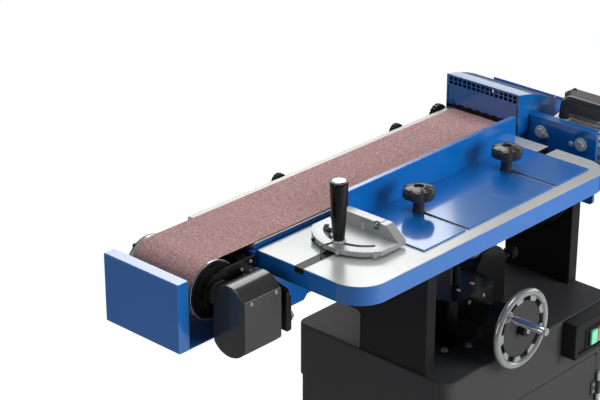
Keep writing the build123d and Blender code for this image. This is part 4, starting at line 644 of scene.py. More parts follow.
def skin(bm, rings, capped=False):
    """Join closed rings of points, of which some may be a single point. Caps close the two ends."""
    for low, high in zip(rings, rings[1:]):
        for k in range(max(len(low), len(high))):
            corners = [low[k % len(low)], low[(k + 1) % len(low)]]
            corners += [high[(k + 1) % len(high)], high[k % len(high)]]
            corners = list(dict.fromkeys(corners))
            if len(corners) > 2:
                bm.faces.new(corners)
    if capped:
        bm.faces.new(rings[0])
        bm.faces.new(rings[-1])


def turn(bm, place, section, steps):
    """Spin a half section of (radius, height, shape) points in millimetres about the place's Z axis."""
    rings = []
    for radius, height, *shape in section:
        ring = []
        for step in range(steps if radius else 1):
            angle = tau * step / steps
            reach = radius * shape[0](angle) if shape else radius
            spot = Vector((reach * cos(angle), reach * sin(angle), height)) * MM
            ring.append(bm.verts.new(place @ spot))
        rings.append(ring)
    skin(bm, rings)


def arc(radius, height, size, start, end, count, *shape):
    """Points of a rounded corner: its centre as (radius, height), size, two angles and any shape."""
    angles = [radians(start + (end - start) * step / count) for step in range(count + 1)]
    return [(radius + size * cos(angle), height + size * sin(angle), *shape) for angle in angles]


print("A hexagon's flat is", round(hexagon(pi / 6), 3), "of its corner")

# %% [markdown]
# What isn't turned is bent or cut from plate. Carry takes an oval section along a path in one plane,
# for bars, levers and strips; plate gives a flat outline its thickness.

# %% Bars and plates
OVAL_STEPS = 20


def carry(bm, path, halves, across):
    """Carry an oval along a path. Each point has its own half width and half thickness."""
    rings = []
    for k, (point, (half_width, half_thick)) in enumerate(zip(path, halves)):
        ahead = (path[min(k + 1, len(path) - 1)] - path[max(k - 1, 0)]).normalized()
        rise = ahead.cross(across).normalized()
        ring = []
        for step in range(OVAL_STEPS):
            angle = tau * step / OVAL_STEPS
            offset = across * half_width * cos(angle) + rise * half_thick * sin(angle)
            ring.append(bm.verts.new(point + offset * MM))
        rings.append(ring)
    skin(bm, rings, capped=True)


def plate(bm, outline, direction, thickness):
    """A flat plate: a closed outline of points, carried along a direction."""
    offset = direction * thickness * MM
    low = [bm.verts.new(point) for point in outline]
    high = [bm.verts.new(point + offset) for point in outline]
    skin(bm, [low, high], capped=True)


print("Ovals have", OVAL_STEPS, "sides")

# %% [markdown]
# A finished mesh becomes a piece of the scene in one place: normals are set outward, faces are
# shaded smooth with sharp edges kept, the finish goes on, and the piece rides on a CAD body. Most
# pieces come straight from the lathe, so turned does both steps for one section at its places.

# %% From mesh to piece
SHARP = 32
WELD = 0.002
SMALL_STEPS = 24


def settle(bm, name, finish, body, stands_for=()):
    """Make a piece of a mesh: it rides on a body and may stand for CAD nodes."""
    bmesh.ops.remove_doubles(bm, verts=bm.verts, dist=WELD * MM)
    bmesh.ops.recalc_face_normals(bm, faces=bm.faces)
    for face in bm.faces:
        face.smooth = True
    for edge in bm.edges:
        edge.smooth = len(edge.link_faces) == 2 and edge.calc_face_angle() < radians(SHARP)
    mesh = bpy.data.meshes.new(name)
    bm.to_mesh(mesh)
    bm.free()
    mesh.materials.append(finishes[finish])
    piece = bpy.data.objects.new(name, mesh)
    bpy.context.scene.collection.objects.link(piece)
    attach(piece, body)
    if stands_for:
        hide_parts(*stands_for)
    print(f"{name}: {len(mesh.polygons)} faces on {body}")


def turned(name, places, section, finish, body, stands_for=(), steps=SMALL_STEPS):
    """A piece from the lathe: the same section at one or more places."""
    bm = bmesh.new()
    for place in places:
        turn(bm, place, section, steps=steps)
    settle(bm, name, finish, body, stands_for)


print("Edges stay sharp from", SHARP, "degrees, and points closer than", WELD, "mm are one")

# %% [markdown]
# The sanding belt is an endless loop of coated cloth, pulled tight round two drums. Its path is two
# straight runs and two half circles, worked out from the CAD belt's box. A thin cross section with
# soft edges is carried round that path, so the cut edge of the cloth shows its thickness.

# %% The sanding belt
BELT_CLOTH = 1.6
BELT_EDGE = 0.5
RUN_STEPS = 60
ROUND_STEPS = 36


def belt_path():
    """Points of the loop's outer face with the direction that faces out, all the way round."""
    radius = belt.span.z / 2 * MM
    idler, drive = belt.left + radius, belt.right - radius
    for start, end, heading in ((idler, drive, 90), (drive, idler, 270)):
        for step in range(RUN_STEPS):
            out = Vector((0, 0, sin(radians(heading))))
            x = start + (end - start) * step / RUN_STEPS
            yield Vector((x, belt.near, belt.middle.z)) + radius * out, out
        for step in range(ROUND_STEPS):
            angle = radians(heading - 180 * step / ROUND_STEPS)
            out = Vector((cos(angle), 0, sin(angle)))
            yield Vector((end, belt.near, belt.middle.z)) + radius * out, out


def make_belt():
    width = belt.span.y
    section = [(0, -BELT_CLOTH), (0, -BELT_EDGE), (BELT_EDGE, 0), (width / 2, 0)]
    section += [(width - BELT_EDGE, 0), (width, -BELT_EDGE), (width, -BELT_CLOTH)]
    bm = bmesh.new()
    rings = []
    for point, out in belt_path():
        spots = [point + (BACK * across + out * depth) * MM for across, depth in section]
        rings.append([bm.verts.new(spot) for spot in spots])
    skin(bm, rings + rings[:1])
    settle(bm, "sanding_belt", "abrasive_cloth", "belt", ["belt"])


make_belt()

# %% [markdown]
# The handwheel is a casting. Its rim is turned bright, and nine finger hollows bite into the bright
# ring from the inside, with a recess behind them that is painted black, darker than the web, which
# is partly its paint and partly painted shade in the hollows. The lathe makes rim, ring, recess and
# web; the hollows are the shape function of the ring's inner edge. Each finish is a piece of its
# own, so the edges stay crisp.

# %% The handwheel
wheel = Extent("handwheel")
RIM_MIDDLE, RIM_RADIUS = 73, 7
RING_INNER, RING_FRONT, RING_BACK, RING_EASE = 56, 3.2, -2, 0.6
WEB_RADIUS, WEB_BACK = 56, -4
RECESS_INNER, RECESS_OUTER, RECESS_FRONT, RECESS_BACK = 54, 68, -3.4, -5.4
HUB_BEHIND_RIM, HUB_RADIUS, HUB_FACE = 19, 18, -0.4
CAP_RADIUS, WHEEL_BORE = 12, 10.1
HOLLOWS, HOLLOW_DEPTH, HOLLOW_SLOPE, HOLLOW_SHIFT = 9, 0.19, 2, 0.8
wheel_place = standing(wheel.foot(FRONT) + FRONT * HUB_BEHIND_RIM * MM, FRONT)


def finger_hollows(angle):
    bite = min(1.0, max(0.0, HOLLOW_SLOPE * cos(HOLLOWS * angle) + HOLLOW_SHIFT))
    return 1 + HOLLOW_DEPTH * bite * bite * (3 - 2 * bite)


def make_wheel():
    node = "handwheel"
    rim = arc(RIM_MIDDLE, 0, RIM_RADIUS, -165, 150, 32)
    groove_line = [(66.4, 2.2), (65.6, RING_FRONT)]
    ring = [(RING_INNER + RING_EASE, RING_FRONT), (RING_INNER, RING_FRONT - RING_EASE)]
    ring = [(r, h, finger_hollows) for r, h in ring + [(RING_INNER, RING_BACK)]]
    rim += groove_line + ring + rim[:1]
    turned("handwheel_rim", [wheel_place], rim, "polished", node, [node], steps=180)
    web = [(WEB_RADIUS, WEB_BACK), (WEB_RADIUS, 0.6), (WEB_RADIUS - 1, 1.2), (40, 0.4), (20, HUB_FACE)]
    web += [(CAP_RADIUS, HUB_FACE), (WHEEL_BORE, -1), (WHEEL_BORE, -HUB_BEHIND_RIM)]
    web += [(HUB_RADIUS, -HUB_BEHIND_RIM), (HUB_RADIUS, -6), (38, -5), (WEB_RADIUS, WEB_BACK)]
    turned("handwheel_web", [wheel_place], web, "wheel_grey", node, steps=72)
    recess = [(RECESS_INNER, RECESS_FRONT), (RECESS_OUTER, RECESS_FRONT)]
    recess += [(RECESS_OUTER, RECESS_BACK), (RECESS_INNER, RECESS_BACK), recess[0]]
    # The recess is painted black, darker than the web: partly paint, partly painted shade behind the
    # hollows.
    turned("handwheel_recess", [wheel_place], recess, "black_paint", node, steps=72)


make_wheel()

# %% [markdown]
# A black cap covers the shaft's end, held by a bright screw, and the crank handle is a chromed sleeve
# that spins on a pin. The sleeve swells a little in the middle, as a hand-turned one does.

# %% The hub cap and the crank handle
grip = Extent("handwheel_grip")
SHAFT_END = 15
CAP_FOOT, CAP_ROUND = -0.6, 2
SOCKET = 2.2
PIN_RADIUS, PIN_PLAY = 5, 0.1
PIN_FOOT, PIN_COLLAR = -9, 11
grip_place = standing(grip.foot(FRONT), FRONT)


def make_hub_cap():
    node = "handwheel"
    cap = [(WHEEL_BORE, CAP_FOOT), (CAP_RADIUS, CAP_FOOT)]
    cap += arc(CAP_RADIUS - CAP_ROUND, SHAFT_END - 1, CAP_ROUND, 0, 90, 4) + [(0, SHAFT_END + 1)]
    turned("handwheel_hub_cap", [wheel_place], cap, "black_gloss", node, steps=48)
    head = [(4.5, SHAFT_END)] + arc(3.5, SHAFT_END + 2.5, 1, 0, 90, 3)
    head += [(SOCKET, SHAFT_END + 3.5, hexagon), (SOCKET, SHAFT_END + 1, hexagon), (0, SHAFT_END + 1)]
    turned("handwheel_hub_screw", [wheel_place], head, "bright_steel", node)


def make_grip():
    radius, length = grip.span.x / 2, grip.span.y
    bore = PIN_RADIUS + PIN_PLAY
    sleeve = [(bore, 0)] + arc(radius - 2.5, 1.5, 1.5, -90, 0, 4)
    sleeve += [(radius - 1, 0.1 * length), (radius, 0.45 * length), (radius - 0.3, 0.8 * length)]
    sleeve += arc(radius - 2.5, length - 2, 2, 0, 90, 4) + [(bore, length), (bore, 0)]
    node = "handwheel_grip"
    turned("crank_grip", [grip_place], sleeve, "chrome", node, [node], steps=40)
    pin_end, head = (grip.far - wheel.near) / MM, radius - 0.4
    pin = [(0, PIN_FOOT), (PIN_COLLAR, PIN_FOOT), (PIN_COLLAR, -4), (8.5, -0.6), (PIN_RADIUS, -0.6)]
    pin += [(PIN_RADIUS, length + 0.4), (head, length + 0.4), (head, pin_end - 1)]
    pin += [(head - 1, pin_end), (0, pin_end)]
    turned("crank_pin", [grip_place], pin, "polished", "handwheel", steps=40)


make_hub_cap()
make_grip()

# %% [markdown]
# The two knobs that clamp the fence are satin, with six wide lobes and hollows between them, a domed
# head with a recess in its top, and a long neck. The head is one lathe section with a lobed shape on
# its wide rings; the neck and the crown stay round.

# %% The fence knobs
KNOB_HEAD, KNOB_NECK, KNOB_STEM, KNOB_STUD = 26, 24.2, 11, 4


def lobed(count, depth, sharpness):
    """A shape with rounded notches between lobes."""
    return lambda angle: 1 - depth * max(0.0, cos(count * angle)) ** sharpness


star, waist = lobed(6, 0.11, 2), lobed(6, 0.07, 2)


def star_knob(node):
    """Six-lobed clamping knob on a neck, standing on the fence."""
    extent = Extent(node)
    head, top = extent.span.y / 2, extent.span.z
    under = top - KNOB_HEAD
    foot = under - KNOB_NECK
    section = [(0, 0), (KNOB_STUD, 0), (KNOB_STUD, foot), (KNOB_STEM + 1, foot), (KNOB_STEM, foot + 2)]
    section += [(KNOB_STEM, under - 6), (KNOB_STEM + 1.5, under - 2), (16, under)]
    section += [(23, under + 1.5, waist)]
    section += arc(head - 7, under + 8.5, 7, -60, 0, 5, star)
    section += arc(head - 8, top - 10.5, 8, 0, 65, 6, star)
    section += [(20, top - 1.8, waist), (13, top - 0.4), (11, top), (9.8, top - 0.3), (9, top - 1.5)]
    section += [(8.6, top - 5), (5, top - 5.3), (4.6, top - 4), (0, top - 3.6)]
    place, body = standing(extent.foot(UP), UP), home[node]
    turned(f"{node}_star", [place], section, "slate_plastic", body, [node], steps=96)


for side in ("left", "right"):
    star_knob(f"fence_knob_{side}")

# %% [markdown]
# The other knobs are round: three that clamp the head's rim at the back, one that locks the lift and
# one that tracks the belt. Each is a fluted head on a neck with a stud, so one function makes all of
# them from a direction and the radius and end of each part.

# %% The round knobs
flutes = lobed(14, 0.07, 1)


def round_knob(node, direction, stud, neck, head, finish):
    """A fluted head on a neck and a stud. Each part is its radius and the height where it ends."""
    (stud_r, stud_end), (neck_r, neck_end), (head_r, head_end) = stud, neck, head
    section = [(0, 0), (stud_r, 0), (stud_r, stud_end), (neck_r, stud_end), (neck_r, neck_end)]
    section += [(0.8 * head_r, neck_end)]
    section += arc(head_r - 2, neck_end + 2, 2, -70, 0, 3, flutes)
    section += arc(head_r - 3, head_end - 3, 3, 0, 75, 5, flutes)
    section += [(0.62 * head_r, head_end), (0.5 * head_r, head_end - 1), (0, head_end - 0.6)]
    place = standing(Extent(node).foot(direction), direction)
    turned(f"{node}_head", [place], section, finish, home[node], [node], steps=112)


for number, finish in ((1, "black_plastic"), (2, "black_plastic"), (3, "black_gloss")):
    size = Extent(f"rear_knob_{number}").span
    parts = ((4, size.y - 16.7), (8, size.y - 13), (size.x / 2, size.y))
    round_knob(f"rear_knob_{number}", BACK, *parts, finish)
size = Extent("lift_lock_knob").span
round_knob("lift_lock_knob", RIGHT, (5, 9), (8, size.x - 22), (size.y / 2, size.x), "black_gloss")
size = Extent("tracking_knob").span
round_knob("tracking_knob", UP, (5, 16), (6, size.z - 17), (9, size.z), "black_plastic")

# %% [markdown]
# The mitre gauge is locked by turning its tall tapered handle down on the head. The handle is
# polished black with a bright pressed-in cap; a bright collar takes the pressure below it.

# %% The mitre handle
handle = Extent("mitre_handle")
HANDLE_FOOT_R, HANDLE_TOP_R, HANDLE_BELLY = 10.6, 16.6, 0.5
HANDLE_CROWN, HANDLE_STUD = 10, 4
COLLAR_RADIUS, COLLAR_HEIGHT, COLLAR_GAP = 13, 4, 0.3
handle_place = standing(handle.foot(UP), UP)
collar_foot = (mitre_base_top - handle.bottom) / MM + COLLAR_GAP
collar_top = collar_foot + COLLAR_HEIGHT


def make_mitre_handle():
    height = handle.span.z
    rise, taper = height - HANDLE_CROWN - collar_top, HANDLE_TOP_R - HANDLE_FOOT_R
    shaft = [(0.9 * HANDLE_FOOT_R, collar_top)]
    for share in (0.02, 0.2, 0.4, 0.6, 0.8, 1.0):
        belly = HANDLE_BELLY * sin(pi * share)
        shaft.append((HANDLE_FOOT_R + taper * share + belly, collar_top + rise * share))
    shaft += arc(HANDLE_TOP_R - 2.5, height - 4.5, 2.5, 0, 80, 5) + [(11, height - 2.2)]
    cap = [(12.4, height - 3)] + arc(11.4, height - 1, 1, 0, 90, 4)
    cap += [(6, height - 0.4), (0, height - 0.6)]
    collar = [(0, 0), (HANDLE_STUD, 0), (HANDLE_STUD, collar_foot), (COLLAR_RADIUS, collar_foot)]
    collar += arc(COLLAR_RADIUS - 1.5, collar_top - 1.5, 1.5, 0, 90, 4)
    collar += [(9, collar_top + 1), (0, collar_top + 1)]
    node, places = "mitre_handle", [handle_place]
    turned("mitre_handle_grip", places, shaft, "black_gloss", node, [node], steps=64)
    turned("mitre_handle_cap", places, cap, "chrome", node, steps=64)
    turned("mitre_handle_collar", places, collar, "bright_steel", node, steps=64)


make_mitre_handle()

# %% [markdown]
# Fasteners are turned too. Three kinds are enough for this machine: hexagon bolts with a washer,
# socket cap screws and low button heads. Each is a section in units of its thread diameter. Equal
# fasteners on one CAD node make one piece that rides with that node's body.

# %% Kinds of fastener


def hex_bolt(d):
    washer = [(0, 0), (1.15 * d, 0), (1.15 * d, 0.14 * d), (1.1 * d, 0.18 * d)]
    head = [(0.9 * d, 0.18 * d), (0.98 * d, 0.2 * d, hexagon), (0.98 * d, 0.72 * d, hexagon)]
    return washer + head + [(0.8 * d, 0.82 * d), (0.5 * d, 0.82 * d), (0, 0.8 * d)]


def cap_screw(d):
    head = [(0, 0), (0.78 * d, 0), (0.78 * d, 0.75 * d), (0.7 * d, 0.85 * d), (0.5 * d, 0.85 * d)]
    return head + [(0.46 * d, 0.8 * d, hexagon), (0.46 * d, 0.35 * d, hexagon), (0, 0.3 * d)]


def button_screw(d):
    dome = [(0, 0), (0.95 * d, 0), (0.95 * d, 0.12 * d), (0.84 * d, 0.36 * d), (0.6 * d, 0.52 * d)]
    socket = [(0.36 * d, 0.52 * d, hexagon), (0.36 * d, 0.22 * d, hexagon), (0, 0.2 * d)]
    return dome + [(0.42 * d, 0.55 * d)] + socket


def fasten(name, node, kind, size, direction, spots, finish="bright_steel"):
    """Equal fasteners on one CAD node, at places counted from the datum."""
    places = [standing(at(*spot), direction) for spot in spots]
    turned(name, places, kind(size), finish, home[node])


print("A button head stands", button_screw(5)[5][1], "mm high on a 5 mm screw")

# %% [markdown]
# At the idler end the gearbox lid is held by two button heads, the carrier's disc by cap screws, its
# arm by small hexagon bolts, and the anchor plate by one large bolt on its far side.

# %% Fasteners of the idler end
lid_spots = [(-109, -103, -46), (-48, -103, -45)]
disc_spots = [(-111, -11, -34), (-122, -11, -49), (-122, -11, -68), (-122, -11, -80)]
arm_spots = [(-45, -17, -32), (-23, -17, -23), (-23, -17, -42)]
fasten("gearbox_lid_screws", "gearbox_plate", button_screw, 4, FRONT, lid_spots)
fasten("carrier_disc_screws", "idler_carrier", cap_screw, 3, FRONT, disc_spots)
fasten("carrier_arm_bolts", "idler_carrier", hex_bolt, 3, FRONT, arm_spots)
fasten("anchor_bolt", "anchor_bracket", hex_bolt, 9, RIGHT, [(4, -82, -118)])

# %% [markdown]
# A small lug stands on the anchor plate beside the gearbox, cut off at an angle along its top. It is
# one flat outline with a thickness.

# %% The anchor's lug
LUG_X, LUG_THICK = -9.0, 8.5
LUG_OUTLINE = ((-90, -77), (-90, -66), (-86, -62), (-62, -56), (-58, -58), (-58, -77))

bm = bmesh.new()
plate(bm, [at(LUG_X, y, z) for y, z in LUG_OUTLINE], RIGHT, LUG_THICK)
# The lug's darker black paint is painted shade, like that of the idler's carrier.
settle(bm, "anchor_lug", "shaded_black_paint", home["anchor_bracket"])

# %% [markdown]
# The lift's gear case has screws in its lid and front, and its base is bolted to the cabinet. The door
# hinges are screwed on, and so is the switch box.

# %% Fasteners of the base
HINGE_FACE_Y, HINGE_LEVELS = -250.5, (-815, -500)
LEAF_X, LEAF_PITCH = 728, 8
FRAME_X, FRAME_PITCH = 749, 24
SWITCH_FACE_Y = -283


def hinge_spots(x, pitch):
    """Two screws on each hinge, above and below its middle."""
    return [(x, HINGE_FACE_Y, z + d) for z in HINGE_LEVELS for d in (-pitch, pitch)]


cover_spots = [(458.9, -136.7, -203), (418.2, -135.4, -203)]
case_spots = [(458.4, -165, -217.7), (415.7, -165, -217.1)]
foot_spots = [(354.9, -157.3, -300), (400.6, -178.9, -300)]
switch_spots = [(x, SWITCH_FACE_Y, z) for x in (611, 740) for z in (-373, -307)]
fasten("lift_lid_screws", "lift_cover", button_screw, 4.5, UP, cover_spots)
fasten("lift_case_screws", "lift_housing", button_screw, 4.5, FRONT, case_spots)
fasten("lift_base_bolts", "cabinet_cap", hex_bolt, 6, UP, foot_spots)
fasten("hinge_door_screws", "door", button_screw, 3.5, FRONT, hinge_spots(LEAF_X, LEAF_PITCH))
fasten("hinge_frame_screws", "hinge_pins", button_screw, 3.5, FRONT, hinge_spots(FRAME_X, FRAME_PITCH))
fasten("switch_box_screws", "switch_box", button_screw, 2.6, FRONT, switch_spots, "oxide")

# %% [markdown]
# On the head, two nuts stand beside the big motor bolts, the hood's plate and the terminal box are
# screwed on, and four screws go into the fan cover from its sides.

# %% Fasteners of the head
motor = Extent("fan_cover")
FAN_SCREW, FAN_SCREW_INSET, FAN_SCREW_SINK = 4, 8, 0.4
TERMINAL_X, TERMINAL_Y, TERMINAL_LID = 866, -101, 58
nut_spots = [(780, -62.2, -14.1), (780, -123.9, -13.6)]
terminal_spots = [(TERMINAL_X + x, TERMINAL_Y + y, TERMINAL_LID) for x in (-10, 10) for y in (-42, 42)]
fasten("motor_foot_nuts", "motor_bracket", hex_bolt, 5, LEFT, nut_spots)
fasten("hood_screw", "dust_hood", button_screw, 3.5, LEFT, [(900, 6, 16)])
fasten("terminal_lid_screws", "terminal_box", button_screw, 4.5, UP, terminal_spots, "oxide")


def round_axis(centre, radius, angles):
    """Places on a circle about an axis along Y, each with the direction that faces out."""
    for angle in angles:
        out = Vector((cos(radians(angle)), 0, sin(radians(angle))))
        yield centre + radius * MM * out, out


fan_middle = motor.foot(FRONT) + FRONT * FAN_SCREW_INSET * MM
fan_ring = round_axis(fan_middle, motor.span.x / 2 - FAN_SCREW_SINK, (45, 135, 225, 315))
fan_places = [standing(spot, out) for spot, out in fan_ring]
fan_screw, fan_body = button_screw(FAN_SCREW), home["fan_cover"]
turned("fan_cover_screws", fan_places, fan_screw, "bright_steel", fan_body)

# %% [markdown]
# Three stop pegs stand out from the mitre head's rim, and a thin pointer of blued strip lies on the
# bar and reads the scale. The wall's slit is closed by a small screw.

# %% The mitre head's trim
PEG_RADIUS, PEG_LENGTH, PEG_ROUND, PEG_ROOT = 4, 9, 1, 4
PEG_LEVEL = -4.5
POINTER_PATH = ((92, -107, 3.1), (80, -105, 3.1), (69, -103, 3.1), (61, -109, -2), (50, -118, -10.4))
POINTER_HALVES = (0.7, 2)


def make_pegs(name, angles, finish):
    places = []
    for angle in angles:
        out = Vector((cos(radians(angle)), sin(radians(angle)), 0))
        middle = Vector((mitre_pivot.x, mitre_pivot.y, at(0, 0, PEG_LEVEL).z))
        places.append(standing(middle + out * (MITRE_RADIUS - PEG_ROOT) * MM, out))
    peg = [(0, 0), (PEG_RADIUS, 0)]
    peg += arc(PEG_RADIUS - PEG_ROUND, PEG_LENGTH - PEG_ROUND, PEG_ROUND, 0, 90, 3) + [(0, PEG_LENGTH)]
    turned(name, places, peg, finish, "mitre_head")


make_pegs("mitre_stop_peg_left", [150.6], "oxide")
make_pegs("mitre_stop_pegs", [192, 231.5], "mitre_casting")
bm = bmesh.new()
carry(bm, [at(*spot) for spot in POINTER_PATH], [POINTER_HALVES] * len(POINTER_PATH), UP)
settle(bm, "mitre_pointer", "oxide", "mitre_bar")
fasten("mitre_slit_screw", "mitre_head", cap_screw, 5, FRONT, [(171, -138.5, 20)])
fasten("mitre_rest_screw", "mitre_head", cap_screw, 7, UP, [(121, -71.5, 2)], "oxide")

# %% [markdown]
# The switch sits in a raised bezel inside the moulded box, with its two buttons side by side. A frame
# is six loops of corners, one after the other, joined into a band with soft front edges.

# %% The switch bezels
BEZEL_SOFT, BEZEL_BAND = 0.8 * MM, 1.5 * MM
SWITCH_FLOOR = 4 * MM
BUTTON_EDGE = 2 * MM
BEZEL_SPREADS = ((0.4 * MM, 0.5 * MM), (11 * MM, 1.5 * MM))


def bezel(bm, low, high, band, back, front):
    """A frame that faces the front: two corners in X and Z, its band and its two depths, in metres."""
    steps = ((0, back), (0, front + BEZEL_SOFT), (BEZEL_SOFT, front), (band - BEZEL_SOFT, front))
    steps += ((band, front + BEZEL_SOFT), (band, back))
    loops = []
    for inset, depth in steps:
        left, right = low[0] + inset, high[0] - inset
        bottom, top = low[1] + inset, high[1] - inset
        corners = ((left, bottom), (right, bottom), (right, top), (left, top))
        loops.append([bm.verts.new((x, depth, z)) for x, z in corners])
    skin(bm, loops + loops[:1])


def make_bezels():
    switch, start, stop = Extent("switch_box"), Extent("start_button"), Extent("stop_button")
    bm = bmesh.new()
    for spread, stand in BEZEL_SPREADS:
        wide, tall = BUTTON_EDGE + spread, BUTTON_EDGE + spread / 3
        low, high = (start.left - wide, start.bottom - tall), (stop.right + wide, stop.top + tall)
        back, front = switch.near + SWITCH_FLOOR, switch.near + stand
        bezel(bm, low, high, BEZEL_BAND + spread / 4, back, front)
    settle(bm, "switch_bezels", "black_plastic", "base")


make_bezels()

# %% [markdown]
# Under the guard's flap hangs a rubber strip that keeps the dust in. Its edge is cut in scallops, so
# that it gives way to the work. The outline follows a cosine along the belt's width.

# %% The dust strip
guard = Extent("drive_guard")
SCALLOPS, SCALLOP_STEPS, SCALLOP_RISE = 7, 12, 3.5
STRIP_FOOT, STRIP_TOP = 2.0, 8.0
STRIP_GAP, STRIP_THICK = 1.4, 1.3


def make_dust_strip():
    x, width = (guard.left - DATUM.x) / MM - STRIP_GAP, belt.span.y
    steps = SCALLOPS * SCALLOP_STEPS
    outline = [at(x, 0, STRIP_FOOT), at(x, width, STRIP_FOOT)]
    for step in range(steps, -1, -1):
        wave = abs(cos(pi * SCALLOPS * step / steps))
        outline.append(at(x, width * step / steps, STRIP_TOP + SCALLOP_RISE * wave))
    bm = bmesh.new()
    plate(bm, outline, RIGHT, STRIP_THICK)
    settle(bm, "dust_strip", "rubber", "head")


make_dust_strip()

# %% [markdown]
# The head is swung by a moulded bridge handle on the motor. Its legs are thicker than its bar, so an
# oval is carried along the bridge with its own size at each point.

# %% The bridge handle
bridge = Extent("head_handle")
BRIDGE_BEND, BEND_STEPS = 20 * MM, 8
BRIDGE_INSET, BRIDGE_PAD = 8 * MM, 9 * MM
FOOT_HALVES, LEG_HALVES = (9.5, 12), (9, 10)
BAR_WIDE, BAR_THICK, BAR_THIN = 9, 8.5, 0.5


def bridge_leg(y, side):
    """Points of one leg from its foot up through its bend, each with the oval's halves there."""
    x, foot, crown = bridge.middle.x, bridge.bottom, bridge.top - BRIDGE_INSET
    yield Vector((x, y, foot)), FOOT_HALVES
    yield Vector((x, y, foot + BRIDGE_PAD)), LEG_HALVES
    for step in range(BEND_STEPS + 1):
        angle = pi / 2 * step / BEND_STEPS
        reach, drop = BRIDGE_BEND * (1 - cos(angle)), BRIDGE_BEND * (1 - sin(angle))
        yield Vector((x, y + side * reach, crown - drop)), (BAR_WIDE, BAR_THICK - BAR_THIN * sin(angle))


far_leg = list(bridge_leg(bridge.far - BRIDGE_INSET, -1))
near_leg = list(bridge_leg(bridge.near + BRIDGE_INSET, 1))
path, halves = zip(*far_leg, *reversed(near_leg))
bm = bmesh.new()
carry(bm, path, halves, RIGHT)
settle(bm, "bridge_handle", "slate_plastic", home["head_handle"], ["head_handle"])

# %% [markdown]
# Two clamping levers lock the tilt of the head. Each has a turned hub, an arm that tapers, and a ball
# of black phenolic.

# %% The tilt locks
LOCK_BALL, LOCK_BORE, LOCK_SHANK = 9, 6.1, 4
LOCK_ARM = ((5, 6), (4.5, 4.8), (4, 4))


def ball(radius, shank):
    """Half section of a ball on a short shank."""
    foot = [(0, 0), (shank, 0), (shank, 0.3 * radius)]
    return foot + arc(0, 1.15 * radius, radius, -58, 85, 10) + [(0, 2.15 * radius)]


def make_tilt_lock(node):
    extent = Extent(node)
    radius, width = extent.span.z / 2, extent.span.x
    hub = Vector((extent.left, extent.near + radius * MM, extent.middle.z))
    rim = [(LOCK_BORE, 0), (radius - 1, 0), (radius, 1), (radius, width - 3), (radius - 2, width)]
    rim += [(LOCK_BORE, width), (LOCK_BORE, 0)]
    bm = bmesh.new()
    turn(bm, standing(hub, RIGHT), rim, steps=48)
    middle = hub + RIGHT * width / 2 * MM
    tip = Vector((middle.x, extent.far - 2 * LOCK_BALL * MM, middle.z))
    carry(bm, [middle + BACK * (radius - 2) * MM, (middle + tip) / 2, tip], LOCK_ARM, RIGHT)
    turn(bm, standing(tip - BACK * 1.5 * MM, BACK), ball(LOCK_BALL - 0.3, LOCK_SHANK), steps=36)
    settle(bm, f"{node}_lever", "black_gloss", node, [node])


for side in ("left", "right"):
    make_tilt_lock(f"tilt_lock_{side}")

# %% [markdown]
# The tension lever turns a short shaft whose crank pin pulls the idler in. Only the hub, arm and ball
# show at the back of the head, but the shaft and pin are made too, so the piece is whole.

# %% The tension lever
LEVER_X, LEVER_Z = 60.0, -54.0
LEVER_DROP, LEVER_BALL, LEVER_SHANK = 92.0, 10.5, 5
LEVER_ARM = ((8, 5), (6, 4.5), (5, 4))
ARM_Y = 170
CRANK_FACE_Y, CRANK_RADIUS, CRANK_THICK = 13, 16, 6
SHAFT_RADIUS, SHAFT_LENGTH = 8, 149
KNUCKLE_RADIUS, KNUCKLE_END, KNUCKLE_ROUND = 14, 165, 2
PIN_X, PIN_Y, PIN_Z = LEVER_X - 5.0, 5, LEVER_Z + 8.66
CRANK_PIN = [(0, 0), (4, 0), (4, 8)]


def make_tension_lever():
    node = "tension_lever"
    turning = [(0, 0), (CRANK_RADIUS, 0), (CRANK_RADIUS, CRANK_THICK), (SHAFT_RADIUS, CRANK_THICK)]
    turning += [(SHAFT_RADIUS, SHAFT_LENGTH), (KNUCKLE_RADIUS, SHAFT_LENGTH)]
    turning += arc(KNUCKLE_RADIUS - KNUCKLE_ROUND, KNUCKLE_END - KNUCKLE_ROUND, KNUCKLE_ROUND, 0, 90, 4)
    turning += [(0, KNUCKLE_END)]
    bm = bmesh.new()
    turn(bm, standing(at(LEVER_X, CRANK_FACE_Y, LEVER_Z), BACK), turning, steps=48)
    turn(bm, standing(at(PIN_X, PIN_Y, PIN_Z), BACK), CRANK_PIN, steps=SMALL_STEPS)
    path = [at(LEVER_X, ARM_Y, LEVER_Z - drop) for drop in (8, 45, LEVER_DROP - 12)]
    carry(bm, path, LEVER_ARM, RIGHT)
    settle(bm, "belt_tension_lever", "bright_steel", node, [node])
    place = standing(at(LEVER_X, ARM_Y, LEVER_Z - LEVER_DROP + 13), -UP)
    knob = ball(LEVER_BALL, LEVER_SHANK)
    turned("belt_tension_ball", [place], knob, "black_gloss", node, steps=36)


make_tension_lever()

# %% [markdown]
# The table is raised by a screw with a trapezoid thread. A thread is a grid of points round a
# cylinder whose radius depends on how far the height and the angle together are along one turn.

# %% The lift screw
screw = Extent("lift_screw")
THREAD_PITCH, THREAD_DEPTH, THREAD_SLOPE = 5, 1.6, 6
THREAD_STEPS, PITCH_ROWS = 24, 8


